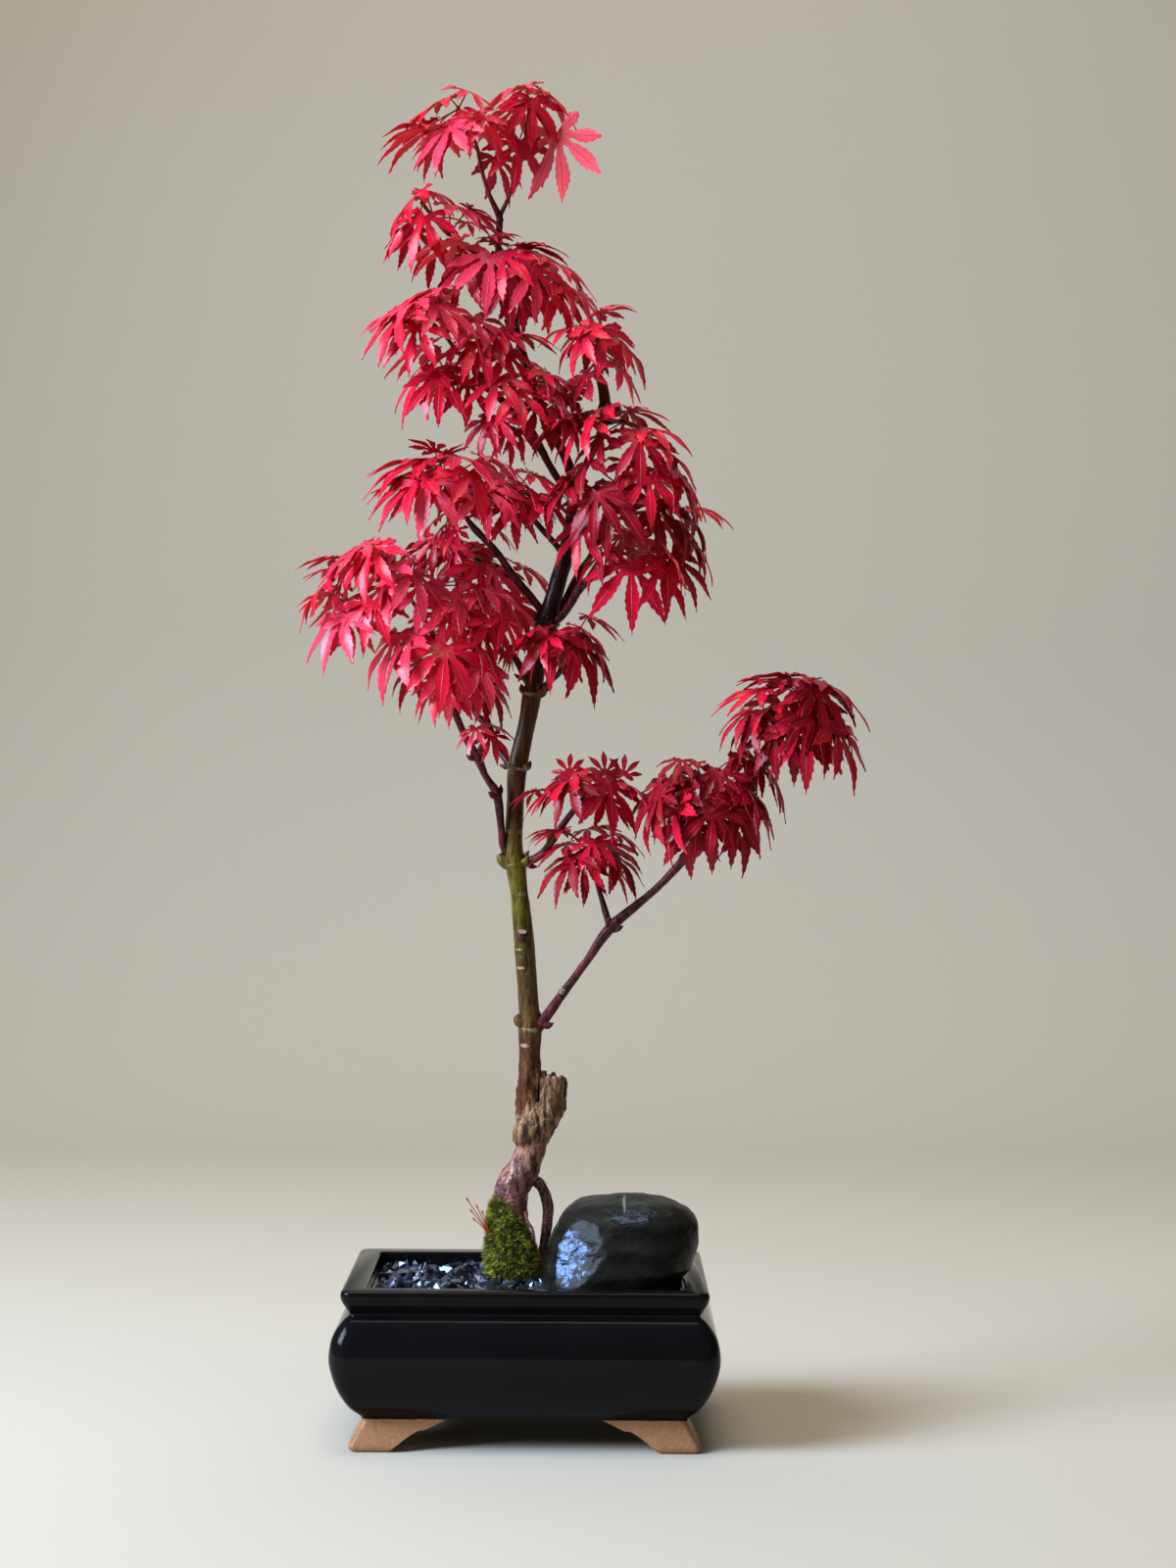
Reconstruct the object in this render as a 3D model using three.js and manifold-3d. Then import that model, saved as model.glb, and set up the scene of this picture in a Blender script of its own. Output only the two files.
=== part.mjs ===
// A red-leaved Japanese maple grown as a bonsai, in a glazed clay pot with gravel and a stone.
//
// Millimetres, +Z up, front towards -Y. Every place is measured from the middle of the pot's foot.
// The whole group is then moved, so that its origin is the middle of the plant's own base.

import * as THREE from 'three';
import { mergeVertices } from 'three/addons/utils/BufferGeometryUtils.js';
import Module from 'manifold-3d';

const wasm = await Module();
wasm.setup();

// ---- Driving dimensions ----------------------------------------------------------------------

const CLEARANCE = 0.3; // between two pieces that touch
const SAME_POINT = 0.001;
// In a fused surface, steps under the first length are smoothed away and the points are rounded to
// the second one. The pairs are tried in turn.
const FINENESS = [[0.12, 0.01], [0.12, 0.02], [0.12, 0.03], [0.12, 0.05], [0.08, 0.03], [0.15, 0.05]];

const POT = { length: 203, depth: 157, height: 83.5, floor: 23.5, footRing: 16.3 };
const BELLY_CORNER = 11; // plan radius of the corners at the belly
const LEAST_CORNER = 3.5;
const DRAIN = { x: 45, radius: 8 };

// Outside of the pot from the foot to the rim: height, and inset from the belly.
const POT_OUTSIDE = [
  [0, 10.2], [3, 10.2], [8, 13], [13, 15.9], [16.3, 16.2], [22, 10.5], [32, 4], [45, 0], [55, 0.5],
  [62, 3], [68, 7.5], [70.4, 10.2], [73, 9.2], [77, 6.7], [80, 5.7], [82.5, 6.1], [83.5, 7.3],
];
// Inside of the pot from its floor to the rim.
const POT_INSIDE = [[23.5, 26], [28, 21], [45, 13.5], [66, 18.2], [82.7, 18.2], [83.5, 17.5]];

// Underside of the apron, as half of an arch: distance from the end of the foot, and height.
const FOOT_ARCH = [[0, -1], [6, 4.7], [14, 9.8], [19, 10.8], [31, 16.3]];
const FOOT_REACH = { x: 70, y: 48 }; // where the feet end, from the middle
const FOOT_RING_INSIDE = { x: 76, y: 53 };

const SCREEN = { size: 26, thickness: 1.2, hole: 8.6, pitch: 11.4 };
const SOIL_TOP = 70;
const ROOT_DEPTH = 45; // height at which the root ball's stem ends in the soil
const GRAVEL = { top: 76.8, pitch: 15, chip: 9, seed: 5 };

// The stone's level sections from its bed to its top: height, left, right, front and back.
const STONE = [
  [73, 12, 79, -50, 8], [78, 8.5, 82, -56, 14], [84, 8.6, 82.4, -57.5, 16], [90, 9.8, 87.5, -58, 18],
  [98, 11.5, 90, -57, 18.5], [106, 13.4, 91, -54, 18], [114, 17, 90.4, -50, 16],
  [119.5, 22, 86, -45, 12], [123.6, 28, 79, -38, 6], [126, 44, 68, -26, -6],
];
const STONE_SIDES = 14;

const MOSS = { x: -7.6, y: 15, foot: GRAVEL.top + CLEARANCE, low: 100, high: 121, radius: 14.4 };
const MOSS_HIGH_SIDE = 205; // compass direction in which the moss climbs highest
const MOSS_SIDES = 14;
const MOSS_LEVELS = 5;

const TRUNK_SIDES = 8;
const LIMB_SIDES = 5;
const TWIG_SIDES = 4;
// Woody parts: x, y, z and radius at each of their joints.
const TRUNK = [
  [-8, 15, ROOT_DEPTH, 8.5], [-8, 15, 62, 10.4], [-8, 15, 80, 10.6], [-9.2, 15, 100, 9.8],
  [-10, 15, 117, 9.6], [-8.2, 15, 127, 9.3], [-1.4, 15, 139.4, 8.4], [1.5, 15, 152.6, 7.9],
  [0.5, 15, 163, 7.4], [-0.6, 15, 172, 6.4], [0.2, 15, 186, 5.9], [0.1, 15, 199.5, 5.7],
  [0.4, 15, 212, 6.4], [-0.6, 15, 225.6, 5.4], [-3.4, 14, 262, 5.5], [-6.2, 13.5, 287.5, 4.8],
  [-8.1, 13, 302, 5.6], [-9.4, 13, 314, 5], [-8.4, 13.5, 337, 4.8], [-7.4, 14, 355, 5.3],
  [-2.6, 14, 378, 4.7], [0.4, 14, 395, 5.3], [4.2, 14, 413.3, 3.9], [7.9, 13.5, 434, 6.6],
  [10.5, 13, 443.5, 4.9], [14.8, 12.5, 459, 4.5], [18, 12, 470, 4.4], [20.5, 11.5, 487, 3.4],
  [21.8, 11, 503, 3.1], [19.5, 10.5, 519, 2.8], [8.5, 10, 542, 2.4], [0, 10, 562, 2.9],
  [-5.8, 10.5, 580, 2.1], [-10.8, 12, 595, 2.8], [-17, 12, 609, 2.4], [-20, 12, 626, 2.1],
  [-19.2, 12, 641, 1.7], [-19, 12, 652, 2],
];
const LIMBS = {
  graft_stub: [[2, 15, 150, 6], [8, 14, 162, 7.6], [12.4, 13.5, 174, 7.4], [13, 13.5, 186, 6.9]],
  graft_burl: [[-3.4, 12, 149, 4], [-2.2, 11, 156, 6.4], [3, 10.5, 164, 5], [7, 10.5, 172, 3]],
  aerial_root: [
    [1, 17, 131, 3.2], [6.5, 18, 127, 3], [10, 18.5, 118, 3], [10.4, 18.5, 108, 2.8],
    [9, 18.5, 97, 2.6], [7.4, 18.5, 86, 2.6], [7, 18.5, SOIL_TOP + CLEARANCE, 2.4],
  ],
  right_low: [
    [2, 14, 210, 2.8], [6.5, 13, 216, 3.1], [17.5, 10, 231.5, 2.4], [30.8, 7, 250, 2.2],
    [44, 4, 268.8, 2.9], [67, -2, 289, 2], [82, -6, 305, 2.3], [108, -12, 335, 1.8],
    [123, -15, 354, 2], [129.4, -16, 362, 3.1], [131, -16, 368, 2],
  ],
  right_low_mid: [[99, -10, 325, 1.5], [97.5, -13, 330, 1.5], [97, -15, 335, 1.3]],
  right_low_up: [[44, 4, 267, 1.8], [41.5, 5.5, 275, 1.8], [37, 9, 290, 1.4], [34.8, 12, 300, 1.6]],
  right_second: [
    [-8, 13, 301, 2], [-2, 12, 303.5, 2.4], [7.3, 6, 309.3, 2.1], [19.6, -2, 327, 1.8],
    [27, -6, 336, 1.7],
  ],
  left_low: [
    [-9, 13, 305, 2.2], [-14.4, 11.5, 311, 2.2], [-16, 8, 323, 2], [-18.2, 5, 339.7, 2.5],
    [-24.4, 0, 350.4, 1.9], [-28.9, -4, 360.5, 2.5], [-34.8, -8, 370.6, 1.9], [-42.2, -12, 388.2, 2],
    [-47, -14, 402, 1.7], [-51, -15, 416, 1.7],
  ],
  left_low_bud: [[-28.9, -4, 360, 1.5], [-26.6, -7, 366, 1.3]],
  left_low_side: [[-46, -14, 399, 1.5], [-45, -18, 404, 1.3]],
  left_second: [
    [-7, 14, 351, 2], [-11.4, 15.4, 356.4, 2.3], [-17.7, 20, 364.8, 1.9], [-24.4, 26, 377.5, 2.3],
    [-30.5, 30, 384, 1.7], [-34.5, 33, 392, 1.6],
  ],
  left_third: [
    [0, 14, 398, 1.8], [-3.6, 14.6, 404, 2], [-8.4, 17.5, 413.5, 1.9], [-14.5, 20.5, 422.3, 1.7],
    [-19.8, 24, 430.8, 2.3], [-22.5, 26, 438, 1.6],
  ],
  right_third: [[1, 13, 393, 1.7], [5, 8.5, 397, 1.9], [14, 0, 405, 1.6]],
  left_fourth: [
    [7, 13, 437, 2.2], [1.5, 10, 445, 2.2], [-9.2, 6, 457.5, 2.1], [-19.3, 2, 471.4, 1.9],
    [-30, -3, 482.5, 2],
  ],
  left_fourth_back: [
    [-9.2, 6.4, 457, 1.6], [-18, 10, 463.4, 1.6], [-28.4, 14, 467.6, 1.7], [-37.4, 20, 471.9, 1.4],
    [-45, 24, 476, 1.4],
  ],
  right_fork_back: [
    [10, 14, 434, 2.2], [15, 15.6, 440, 2.2], [25.5, 20, 461, 2.2], [31.3, 24, 470.3, 1.7],
    [38, 29, 484, 1.6],
  ],
  right_fork_front: [
    [10, 12, 433, 2.2], [17, 8, 438, 2.1], [27.6, 0, 453.8, 2.3], [36, -4, 459, 1.7],
    [43, -7, 462.5, 1.8],
  ],
  right_fork_bud: [[27.6, 0, 453, 1.5], [31.6, -1.5, 459, 1.5], [34.4, -2.6, 463, 1.9]],
  centre_fork: [[18, 12, 469, 1.9], [12.4, 10, 476.5, 1.7], [0, 6, 490, 1.5], [-7, 3, 501, 1.4]],
  left_high: [
    [21.6, 11, 501, 2], [15, 9, 509.6, 2], [9, 7, 519, 2], [-1.5, 2, 537, 2.5],
    [-12.9, -4, 548.6, 1.8], [-23.6, -8, 559.3, 2.4], [-31, -11, 568, 1.6],
  ],
  left_high_side: [[-23.6, -8, 559, 1.4], [-30, -6.5, 561, 1.3]],
  left_high_front: [[-1.5, 2, 536, 1.5], [-4.4, -4, 542, 1.4]],
  right_high: [
    [21.5, 10.5, 508, 2], [26.4, 8.6, 515, 2], [31, 7.6, 523, 2], [36.5, 5, 536, 2.2],
    [39, 3, 548, 3.1], [38, 1, 559, 2.9], [35.6, 0, 566, 2.1],
  ],
  right_high_stub: [[39, 3, 545, 1.8], [43.4, 1.6, 547.6, 1.6], [47, 0, 549.6, 1.9]],
  right_high_side: [[38, 3.4, 541, 1.5], [43, -0.5, 541.6, 1.4]],
  leader_right: [[21.4, 10.5, 497, 1.6], [28, 5.5, 500.6, 1.5]],
  leader_left: [[-4, 10, 573, 1.5], [-7.6, 4.4, 576.6, 1.3]],
  leader_mid: [[-10.8, 12, 594, 1.6], [-8.4, 6.4, 600, 1.4]],
  leader_top: [[-20, 12, 623, 1.6], [-26.4, 9.4, 629.6, 1.5]],
};

const TWIG_RADIUS = 1.1;
const STALK_ROOT = 1.6; // how far below its joint a leaf stalk starts
const STALK = { length: 18, radius: 0.5 };
const LEAST_SEAT = -0.2; // how squarely, at least, a stalk meets its seat: less is squarer
const THIRD_TURN = (2 * Math.PI) / 3;
// Shares of the leaf's length, apart from the thickness, the hub's height and the stalk's seat.
const BLADE = { notch: 0.22, shoulder: 0.5, rib: 0.42, thickness: 0.8, hub: 0.6, seat: 0.9 };
const BLADE_DROOP = [0.8, 1.3]; // least and most bend from the hub to the tip, in radians
// The lobes: angle from the middle one, length, and half-width, which is none on the plain ones.
const LOBES = [[-74, 0.66, 0], [-36, 0.9, 0.125], [0, 1, 0.13], [36, 0.9, 0.125], [74, 0.66, 0]];
const SMALL_LEAF = 27.5; // leaves shorter than this have plain side lobes
const OUTER_NOTCH = 92;
const LEAF_SEED = 11;
// Turns and small moves tried, in this order, until a leaf is clear of its neighbours.
const BENDS = [[0, 0], [0, 14], [0, -14], [16, 0], [-16, 0], [24, 16], [-24, 16], [40, -8], [-40, -8]];
const SHIFTS = [
  [0, 0, 0], [0, -5, 0], [0, 5, 0], [0, 0, 6], [-5, 0, -3], [5, 0, -3], [0, -10, 0], [0, 10, 0],
  [0, 0, 11], [-9, 0, 2], [9, 0, 2],
];

// The leafy sprays. Each grows from the end of a limb along its twigs, whose first point is left
// out where it is the limb's end. A leaf has the place where its stalk meets the blade, the length
// of its middle lobe, the compass direction in which that lobe points (0 is +X, 90 is +Y), and how
// far it is tilted below level there.
const SPRAYS = {
  crown: {
    limb: 'trunk',
    twigs: [
      [[-25, 10, 667], [-29, 8, 680], [-31, 6, 690], [-36, 4, 702], [-42, 2, 712]],
      [[-14, 12, 665], [-9, 12, 680], [-5, 12, 692], [-5, 10, 704], [-2, 8, 715]],
    ],
    leaves: [
      [-46, -2, 716, 28, 190, 25], [-36, -12, 717, 22, -60, 20], [-52, -8, 695, 31, 185, 20],
      [-44, -18, 697, 30, 240, 45], [-26, -14, 703, 28, -60, 40], [-48, 14, 700, 26, 150, 35],
      [-22, 14, 687, 24, 40, 50], [-4, -2, 722, 27, 200, 12], [3, 4, 721, 26, 0, 30],
      [-1, -11, 713, 24, -80, 68], [11, -6, 692, 37, -48, 52], [-8, -5, 692, 26, -95, 70],
      [-15, 2, 704, 26, 170, 10], [-10, 28, 718, 26, 110, 30],
    ],
  },
  left_top: {
    limb: 'leader_top',
    twigs: [[[-38, 4, 637], [-47, 0, 643], [-55, -3, 652], [-61, -5, 659]]],
    leaves: [
      [-66, -8, 664, 28, 205, 35], [-60, 0, 667, 25, 10, 5], [-58, -13, 650, 28, 235, 60],
      [-45, -8, 657, 29, -10, 18], [-63, 10, 652, 26, 160, 40], [-50, 14, 641, 26, 130, 40],
      [-40, -10, 637, 28, 190, 15],
    ],
  },
  mid_top: {
    limb: 'leader_mid',
    twigs: [[[-7, 2, 607], [-6, -2, 614]], [[-6, 10, 607], [-6, 14, 616]]],
    leaves: [
      [-24, -4, 640, 18, -50, -15], [-5, -10, 634, 24, -20, -8], [2, -6, 631, 35, -8, 20],
      [0, -16, 622, 27, -70, 60], [14, -5, 615, 28, -16, 38], [-22, -14, 629, 31, 260, 55],
      [-35, -8, 626, 29, 220, 55], [-13, -14, 617, 27, -85, 72], [-10, 30, 634, 26, 80, 35],
      [-30, 26, 634, 26, 140, 35],
    ],
  },
  left_high: {
    limb: 'left_high',
    twigs: [[[-41, -14, 578], [-48, -15, 587], [-56, -16, 594]]],
    leaves: [
      [-72, -17, 600, 24, 185, 8], [-70, -27, 596, 29, 225, 58], [-60, -22, 605, 28, 205, 30],
      [-49, -14, 611, 28, 185, 12], [-61, -30, 589, 26, 250, 62], [-50, -26, 600, 26, -60, 38],
      [-37, -18, 592, 26, -45, 42], [-58, 4, 606, 26, 150, 30],
    ],
  },
  left_mid: {
    limb: 'left_high_side',
    twigs: [[[-37, -5, 563], [-44, -4, 566], [-49, -4, 569]]],
    leaves: [
      [-54, -10, 568, 31, 205, 45], [-49, -18, 565, 26, 265, 70], [-35, -16, 561, 23, -75, 70],
      [-54, -18, 580, 27, 190, 22], [-30, -20, 581, 27, -65, 42], [-46, 12, 573, 26, 140, 35],
    ],
  },
  centre_high: {
    limb: 'leader_left',
    twigs: [[[-10.6, 0, 579], [-15, -4, 583]]],
    leaves: [
      [-8, -8, 587, 22, -12, 0], [-21, -10, 589, 26, 240, 50], [-27, -3, 579, 26, 210, 40],
      [-14, -15, 576, 25, -60, 60],
    ],
  },
  centre_star: {
    limb: 'left_high_front',
    twigs: [[[-6, -8, 548], [-7, -10, 554]]],
    leaves: [
      [-23, -16, 541, 22, 235, 62], [-14, -14, 535, 19, -50, 68], [-8, -21, 556, 24, -75, 52],
      [-18, -20, 563, 26, 250, 55], [3, -16, 566, 20, -30, 10], [8, -14, 560, 25, -20, 32],
    ],
  },
  right_high: {
    limb: 'right_high',
    twigs: [[[34, -2, 576], [35, -4, 588]], [[41, -4, 572], [46, -6, 576]]],
    leaves: [
      [36, -8, 599, 19, -40, -35], [24, -10, 592, 21, 190, 10], [27, -15, 588, 25, 230, 58],
      [37, -17, 590, 25, -85, 68], [46, -10, 585, 27, -22, 50], [45, -15, 571, 23, -40, 58],
      [26, 6, 566, 20, 190, 32], [40, 13, 592, 25, 60, 40],
    ],
  },
  right_upper: {
    limb: 'right_high_side',
    twigs: [[[50, -4, 541], [57, -7, 538]]],
    leaves: [
      [38, -12, 548, 29, 200, 30], [30, -17, 540, 27, 215, 42], [60, -12, 537, 27, -20, 4],
      [66, -15, 529, 31, -28, 34], [58, -24, 531, 26, -90, 66], [51, -8, 547, 24, 20, 8],
      [57, 14, 538, 26, 50, 35],
    ],
  },
  right_middle: {
    limb: 'leader_right',
    twigs: [[[36, -1, 505], [46, -6, 509], [56, -9, 511]]],
    leaves: [
      [30, -17, 518, 27, 208, 35], [42, -26, 501, 33, 258, 58], [52, -15, 518, 26, -55, 36],
      [73, -12, 518, 33, -18, 50], [62, -26, 510, 26, -80, 60], [66, 12, 512, 26, 40, 40],
      [20, -18, 507, 28, 196, 34], [45, 20, 509, 26, 100, 40],
    ],
  },
  right_back: {
    limb: 'right_fork_back',
    twigs: [[[46, 25, 491], [57, 16, 494], [68, 8, 494]]],
    leaves: [
      [66, -11, 497, 29, -70, 64], [80, -2, 496, 29, -20, 48], [84, 8, 480, 26, -8, 45],
      [88, 16, 497, 21, 0, 5], [71, 30, 490, 26, 40, 45], [54, 38, 484, 26, 85, 50],
    ],
  },
  right_star: {
    limb: 'right_fork_front',
    twigs: [[[47, -10, 466], [49, -13, 471]]],
    leaves: [
      [53, -21, 464, 33, -85, 72], [75, -11, 470, 29, -30, 58], [38, -16, 470, 21, 215, 60],
      [62, 4, 473, 25, 30, 50], [27, -16, 483, 25, 245, 64],
    ],
  },
  centre: {
    limb: 'centre_fork',
    twigs: [[[-9, 1, 506]]],
    leaves: [
      [-1, -10, 513, 24, -12, 30], [6, -14, 499, 23, -70, 60], [-9, -14, 496, 19, -85, 74],
      [-14, 10, 515, 24, 150, 30],
    ],
  },
  left_umbrella: {
    limb: 'left_fourth',
    twigs: [[[-36, -6, 490], [-41, -8, 499], [-47, -9, 509]]],
    leaves: [
      [-52, -9, 524, 18, 260, -30], [-57, -14, 516, 33, 182, 20], [-59, -24, 510, 33, 212, 42],
      [-53, -30, 507, 31, 250, 60], [-40, -15, 521, 33, -15, 14], [-33, -25, 512, 31, -60, 48],
      [-25, -27, 504, 27, -85, 64], [-50, 10, 516, 26, 150, 35],
      [-16, -12, 508, 27, -25, 32], [-23, -10, 484, 17, -10, 22],
      [-40, -16, 482, 15, 215, 58], [-50, -10, 489, 15, 190, 42],
    ],
  },
  left_middle: {
    limb: 'left_fourth_back',
    twigs: [[[-50, 26, 479]], [[-44, 17, 481]]],
    leaves: [
      [-52, 12, 480, 21, 250, 64], [-40, 8, 471, 25, -85, 56], [-29, 2, 464, 25, -70, 60],
      [-58, 36, 478, 26, 150, 40], [-38, 40, 475, 26, 90, 45], [-16, 30, 462, 25, 20, 25],
    ],
  },
  left_low: {
    limb: 'left_low',
    twigs: [
      [[-53, -15, 427], [-60, -16, 438], [-68, -16, 450], [-76, -16, 460], [-84, -16, 467]],
      [[-53.6, -12, 428], [-52, -8, 442], [-52, -5, 454]],
      [[-56, -15, 425], [-65, -14, 425.5], [-82, -12, 428], [-91, -10, 435]],
    ],
    leaves: [
      [-88, -18, 474, 29, 192, 35], [-84, -27, 471, 29, 242, 60], [-84, -8, 475, 23, -8, 0],
      [-105, -9, 467, 19, 180, 5], [-71, -24, 461, 27, 212, 50], [-63, -28, 458, 29, -60, 42],
      [-77, -22, 452, 28, 222, 60], [-74, 6, 466, 26, 150, 30], [-94, 2, 469, 27, 170, 35],
      [-109, -13, 454, 27, 197, 50], [-99, -21, 437, 31, 222, 55], [-96, -24, 434, 21, -80, 74],
      [-111, -2, 447, 21, 172, 20], [-100, 9, 446, 26, 150, 45],
      [-84, -26, 443, 27, 250, 60], [-57, -25, 452, 25, 262, 66], [-43, -22, 448, 27, -60, 54],
      [-46, -27, 437, 25, 265, 68], [-35, -7, 455, 27, -18, 34],
    ],
  },
  left_star: {
    limb: 'left_low_side',
    twigs: [[[-45, -20, 408], [-46, -20, 413]]],
    leaves: [
      [-45, -34, 418, 33, 270, 60], [-63, -26, 424, 29, 207, 52], [-71, -19, 425, 33, 218, 64],
      [-30, -23, 421, 27, -28, 38], [-50, -24, 402, 23, 250, 68], [-32, -20, 405, 25, -50, 58],
      [-40, 0, 418, 27, 60, 50], [-59, 0, 413, 27, 160, 50],
    ],
  },
  left_back: {
    limb: 'left_second',
    twigs: [[[-37, 35, 398]]],
    leaves: [
      [-48, 37, 405, 26, 170, 50], [-33, 46, 408, 26, 65, 50], [-26, 27, 402, 25, -25, 58],
      [-40, 22, 409, 25, 258, 58],
    ],
  },
  centre_left: {
    limb: 'left_third',
    twigs: [[[-24, 27, 443]]],
    leaves: [
      [-27, 16, 452, 26, 248, 60], [-13, 15, 448, 26, -42, 52], [-31, 38, 452, 26, 150, 45],
      [-15, 40, 448, 26, 60, 50],
    ],
  },
  right_third: {
    limb: 'right_third',
    twigs: [[[16, -2, 410]]],
    leaves: [
      [5, -12, 428, 27, 200, 24], [12, -20, 426, 29, 265, 58], [24, -16, 423, 33, -42, 58],
      [29, -5, 424, 27, -2, 44], [15, 11, 426, 25, 80, 45],
    ],
  },
  left_bud: {
    limb: 'left_low_bud',
    twigs: [[[-26, -9, 369]]],
    leaves: [[-22, -14, 378, 15, -20, 20], [-29, -17, 376, 15, 240, 50], [-21, -19, 372, 15, -60, 58]],
  },
  right_second: {
    limb: 'right_second',
    twigs: [[[30, -8, 341], [33, -9, 346]]],
    leaves: [
      [21, -10, 357, 11, -90, -50], [24, -15, 352, 25, 190, 30], [22, -23, 348, 25, 228, 54],
      [42, -21, 346, 27, -75, 60], [47, -10, 348, 25, -8, 24], [39, -11, 358, 11, -60, -50],
      [51, -8, 357, 11, -30, -55], [32, 10, 352, 25, 95, 35],
    ],
  },
  right_inner: {
    limb: 'right_low_up',
    twigs: [[[33, 12, 306], [32, 12, 310]]],
    leaves: [
      [20, 4, 314, 22, 190, 18], [23, -6, 308, 27, 228, 54], [29, -7, 304, 21, -85, 68],
      [44, 2, 309, 25, -32, 48], [31, 3, 322, 19, -60, 0], [41, 25, 314, 25, 60, 40],
    ],
  },
  right_mid: {
    limb: 'right_low_mid',
    twigs: [[[95, -17, 341], [92, -18, 348]]],
    leaves: [
      [88, -21, 358, 19, 195, 10], [79, -26, 346, 29, 202, 40], [78, -33, 336, 31, 225, 55],
      [96, -35, 335, 31, 268, 68], [111, -29, 336, 33, -42, 58], [110, -20, 350, 27, -8, 32],
      [101, -29, 353, 23, -90, 55], [92, 4, 351, 26, 130, 40], [107, 8, 345, 26, 60, 45],
      [76, -4, 347, 27, 170, 40],
    ],
  },
  right_end: {
    limb: 'right_low',
    twigs: [[[134, -17, 375], [140, -18, 384], [147, -18, 393]], [[127, -18, 376], [124, -20, 381]]],
    leaves: [
      [149, -17, 402, 31, 182, 4], [154, -22, 401, 38, -8, 16], [151, -30, 398, 29, -60, 48],
      [132, -21, 389, 29, 190, 20], [119, -27, 381, 23, 212, 48], [145, -36, 380, 33, -72, 66],
      [162, -28, 379, 33, -30, 58], [159, -12, 390, 29, 2, 40], [135, 0, 391, 27, 110, 35],
      [153, 2, 391, 27, 50, 40], [130, -34, 374, 23, 262, 60], [113, -14, 365, 21, 200, 42],
    ],
  },
};

// ---- Solids ----------------------------------------------------------------------------------

function toSolid(geometry) {
  const bare = new THREE.BufferGeometry();
  bare.setAttribute('position', geometry.getAttribute('position'));
  if (geometry.index) bare.setIndex(geometry.index);
  const merged = mergeVertices(bare, SAME_POINT);
  const vertProperties = new Float32Array(merged.getAttribute('position').array);
  const triVerts = new Uint32Array(merged.index.array);
  return new wasm.Manifold(new wasm.Mesh({ numProp: 3, vertProperties, triVerts }));
}

function toGeometry(solid) {
  const mesh = solid.getMesh();
  const geometry = new THREE.BufferGeometry();
  geometry.setAttribute('position', new THREE.BufferAttribute(mesh.vertProperties, 3));
  return geometry.setIndex(new THREE.BufferAttribute(mesh.triVerts, 1));
}

// A surface with its points rounded to a grid, without the faces that this makes flat.
function roundedOff(geometry, grid) {
  const place = geometry.getAttribute('position');
  place.array.forEach((value, i) => {
    place.array[i] = Math.round(value / grid) * grid;
  });
  const merged = mergeVertices(geometry, SAME_POINT);
  const kept = [];
  for (let i = 0; i < merged.index.count; i += 3) {
    const corners = [...merged.index.array.slice(i, i + 3)];
    if (new Set(corners).size === 3) kept.push(...corners);
  }
  return merged.setIndex(kept);
}

// Whether each edge lies between exactly two faces.
function isClosed(geometry) {
  const edges = new Set();
  const index = geometry.index.array;
  for (let i = 0; i < index.length; i += 3) {
    for (const [a, b] of [[0, 1], [1, 2], [2, 0]]) {
      const edge = `${index[i + a]} ${index[i + b]}`;
      if (edges.has(edge)) return false;
      edges.add(edge);
    }
  }
  return [...edges].every((edge) => edges.has(edge.split(' ').reverse().join(' ')));
}

// A fused solid without the slivers, scraps and sealed hollows that joining or cutting has left.
function soundBody(solid) {
  for (const [step, grid] of FINENESS) {
    const surface = roundedOff(toGeometry(solid.simplify(step)), grid);
    if (!isClosed(surface)) continue;
    const pieces = toSolid(surface).decompose();
    return pieces.reduce((best, piece) => (piece.volume() > best.volume() ? piece : best));
  }
  throw new Error('a fused surface is not closed');
}

function solidFrom(points, triangles) {
  const geometry = new THREE.BufferGeometry().setFromPoints(points);
  geometry.setIndex(triangles.flat());
  return toSolid(geometry);
}

// A closed body through rings of points, all with the same count, each turning the same way.
function loft(rings) {
  const count = rings[0].length;
  const triangles = [];
  for (let level = 0; level + 1 < rings.length; level++) {
    for (let i = 0; i < count; i++) {
      const a = level * count + i;
      const b = level * count + ((i + 1) % count);
      triangles.push([a, b, b + count], [a, b + count, a + count]);
    }
  }
  const top = (rings.length - 1) * count;
  for (let i = 1; i + 1 < count; i++) {
    triangles.push([0, i + 1, i], [top, top + i, top + i + 1]);
  }
  return solidFrom(rings.flat(), triangles);
}

// A small generator of repeatable random numbers from 0 to 1.
function seeded(seed) {
  let state = seed >>> 0;
  return () => {
    state = (Math.imul(state, 1664525) + 1013904223) >>> 0;
    return state / 4294967296;
  };
}

// ---- The pot and what fills it ---------------------------------------------------------------

// A level ring of the pot at an inset from its belly: a rectangle with round corners.
function potRing(z, inset) {
  const radius = Math.max(LEAST_CORNER, BELLY_CORNER - 0.8 * inset);
  const halfX = POT.length / 2 - inset - radius;
  const halfY = POT.depth / 2 - inset - radius;
  const ring = [];
  for (const [sx, sy, start] of [[1, 1, 0], [-1, 1, 90], [-1, -1, 180], [1, -1, 270]]) {
    for (const turn of [0, 45, 90]) {
      const angle = THREE.MathUtils.degToRad(start + turn);
      const x = sx * halfX + radius * Math.cos(angle);
      const y = sy * halfY + radius * Math.sin(angle);
      ring.push(new THREE.Vector3(x, y, z));
    }
  }
  return ring;
}

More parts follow.
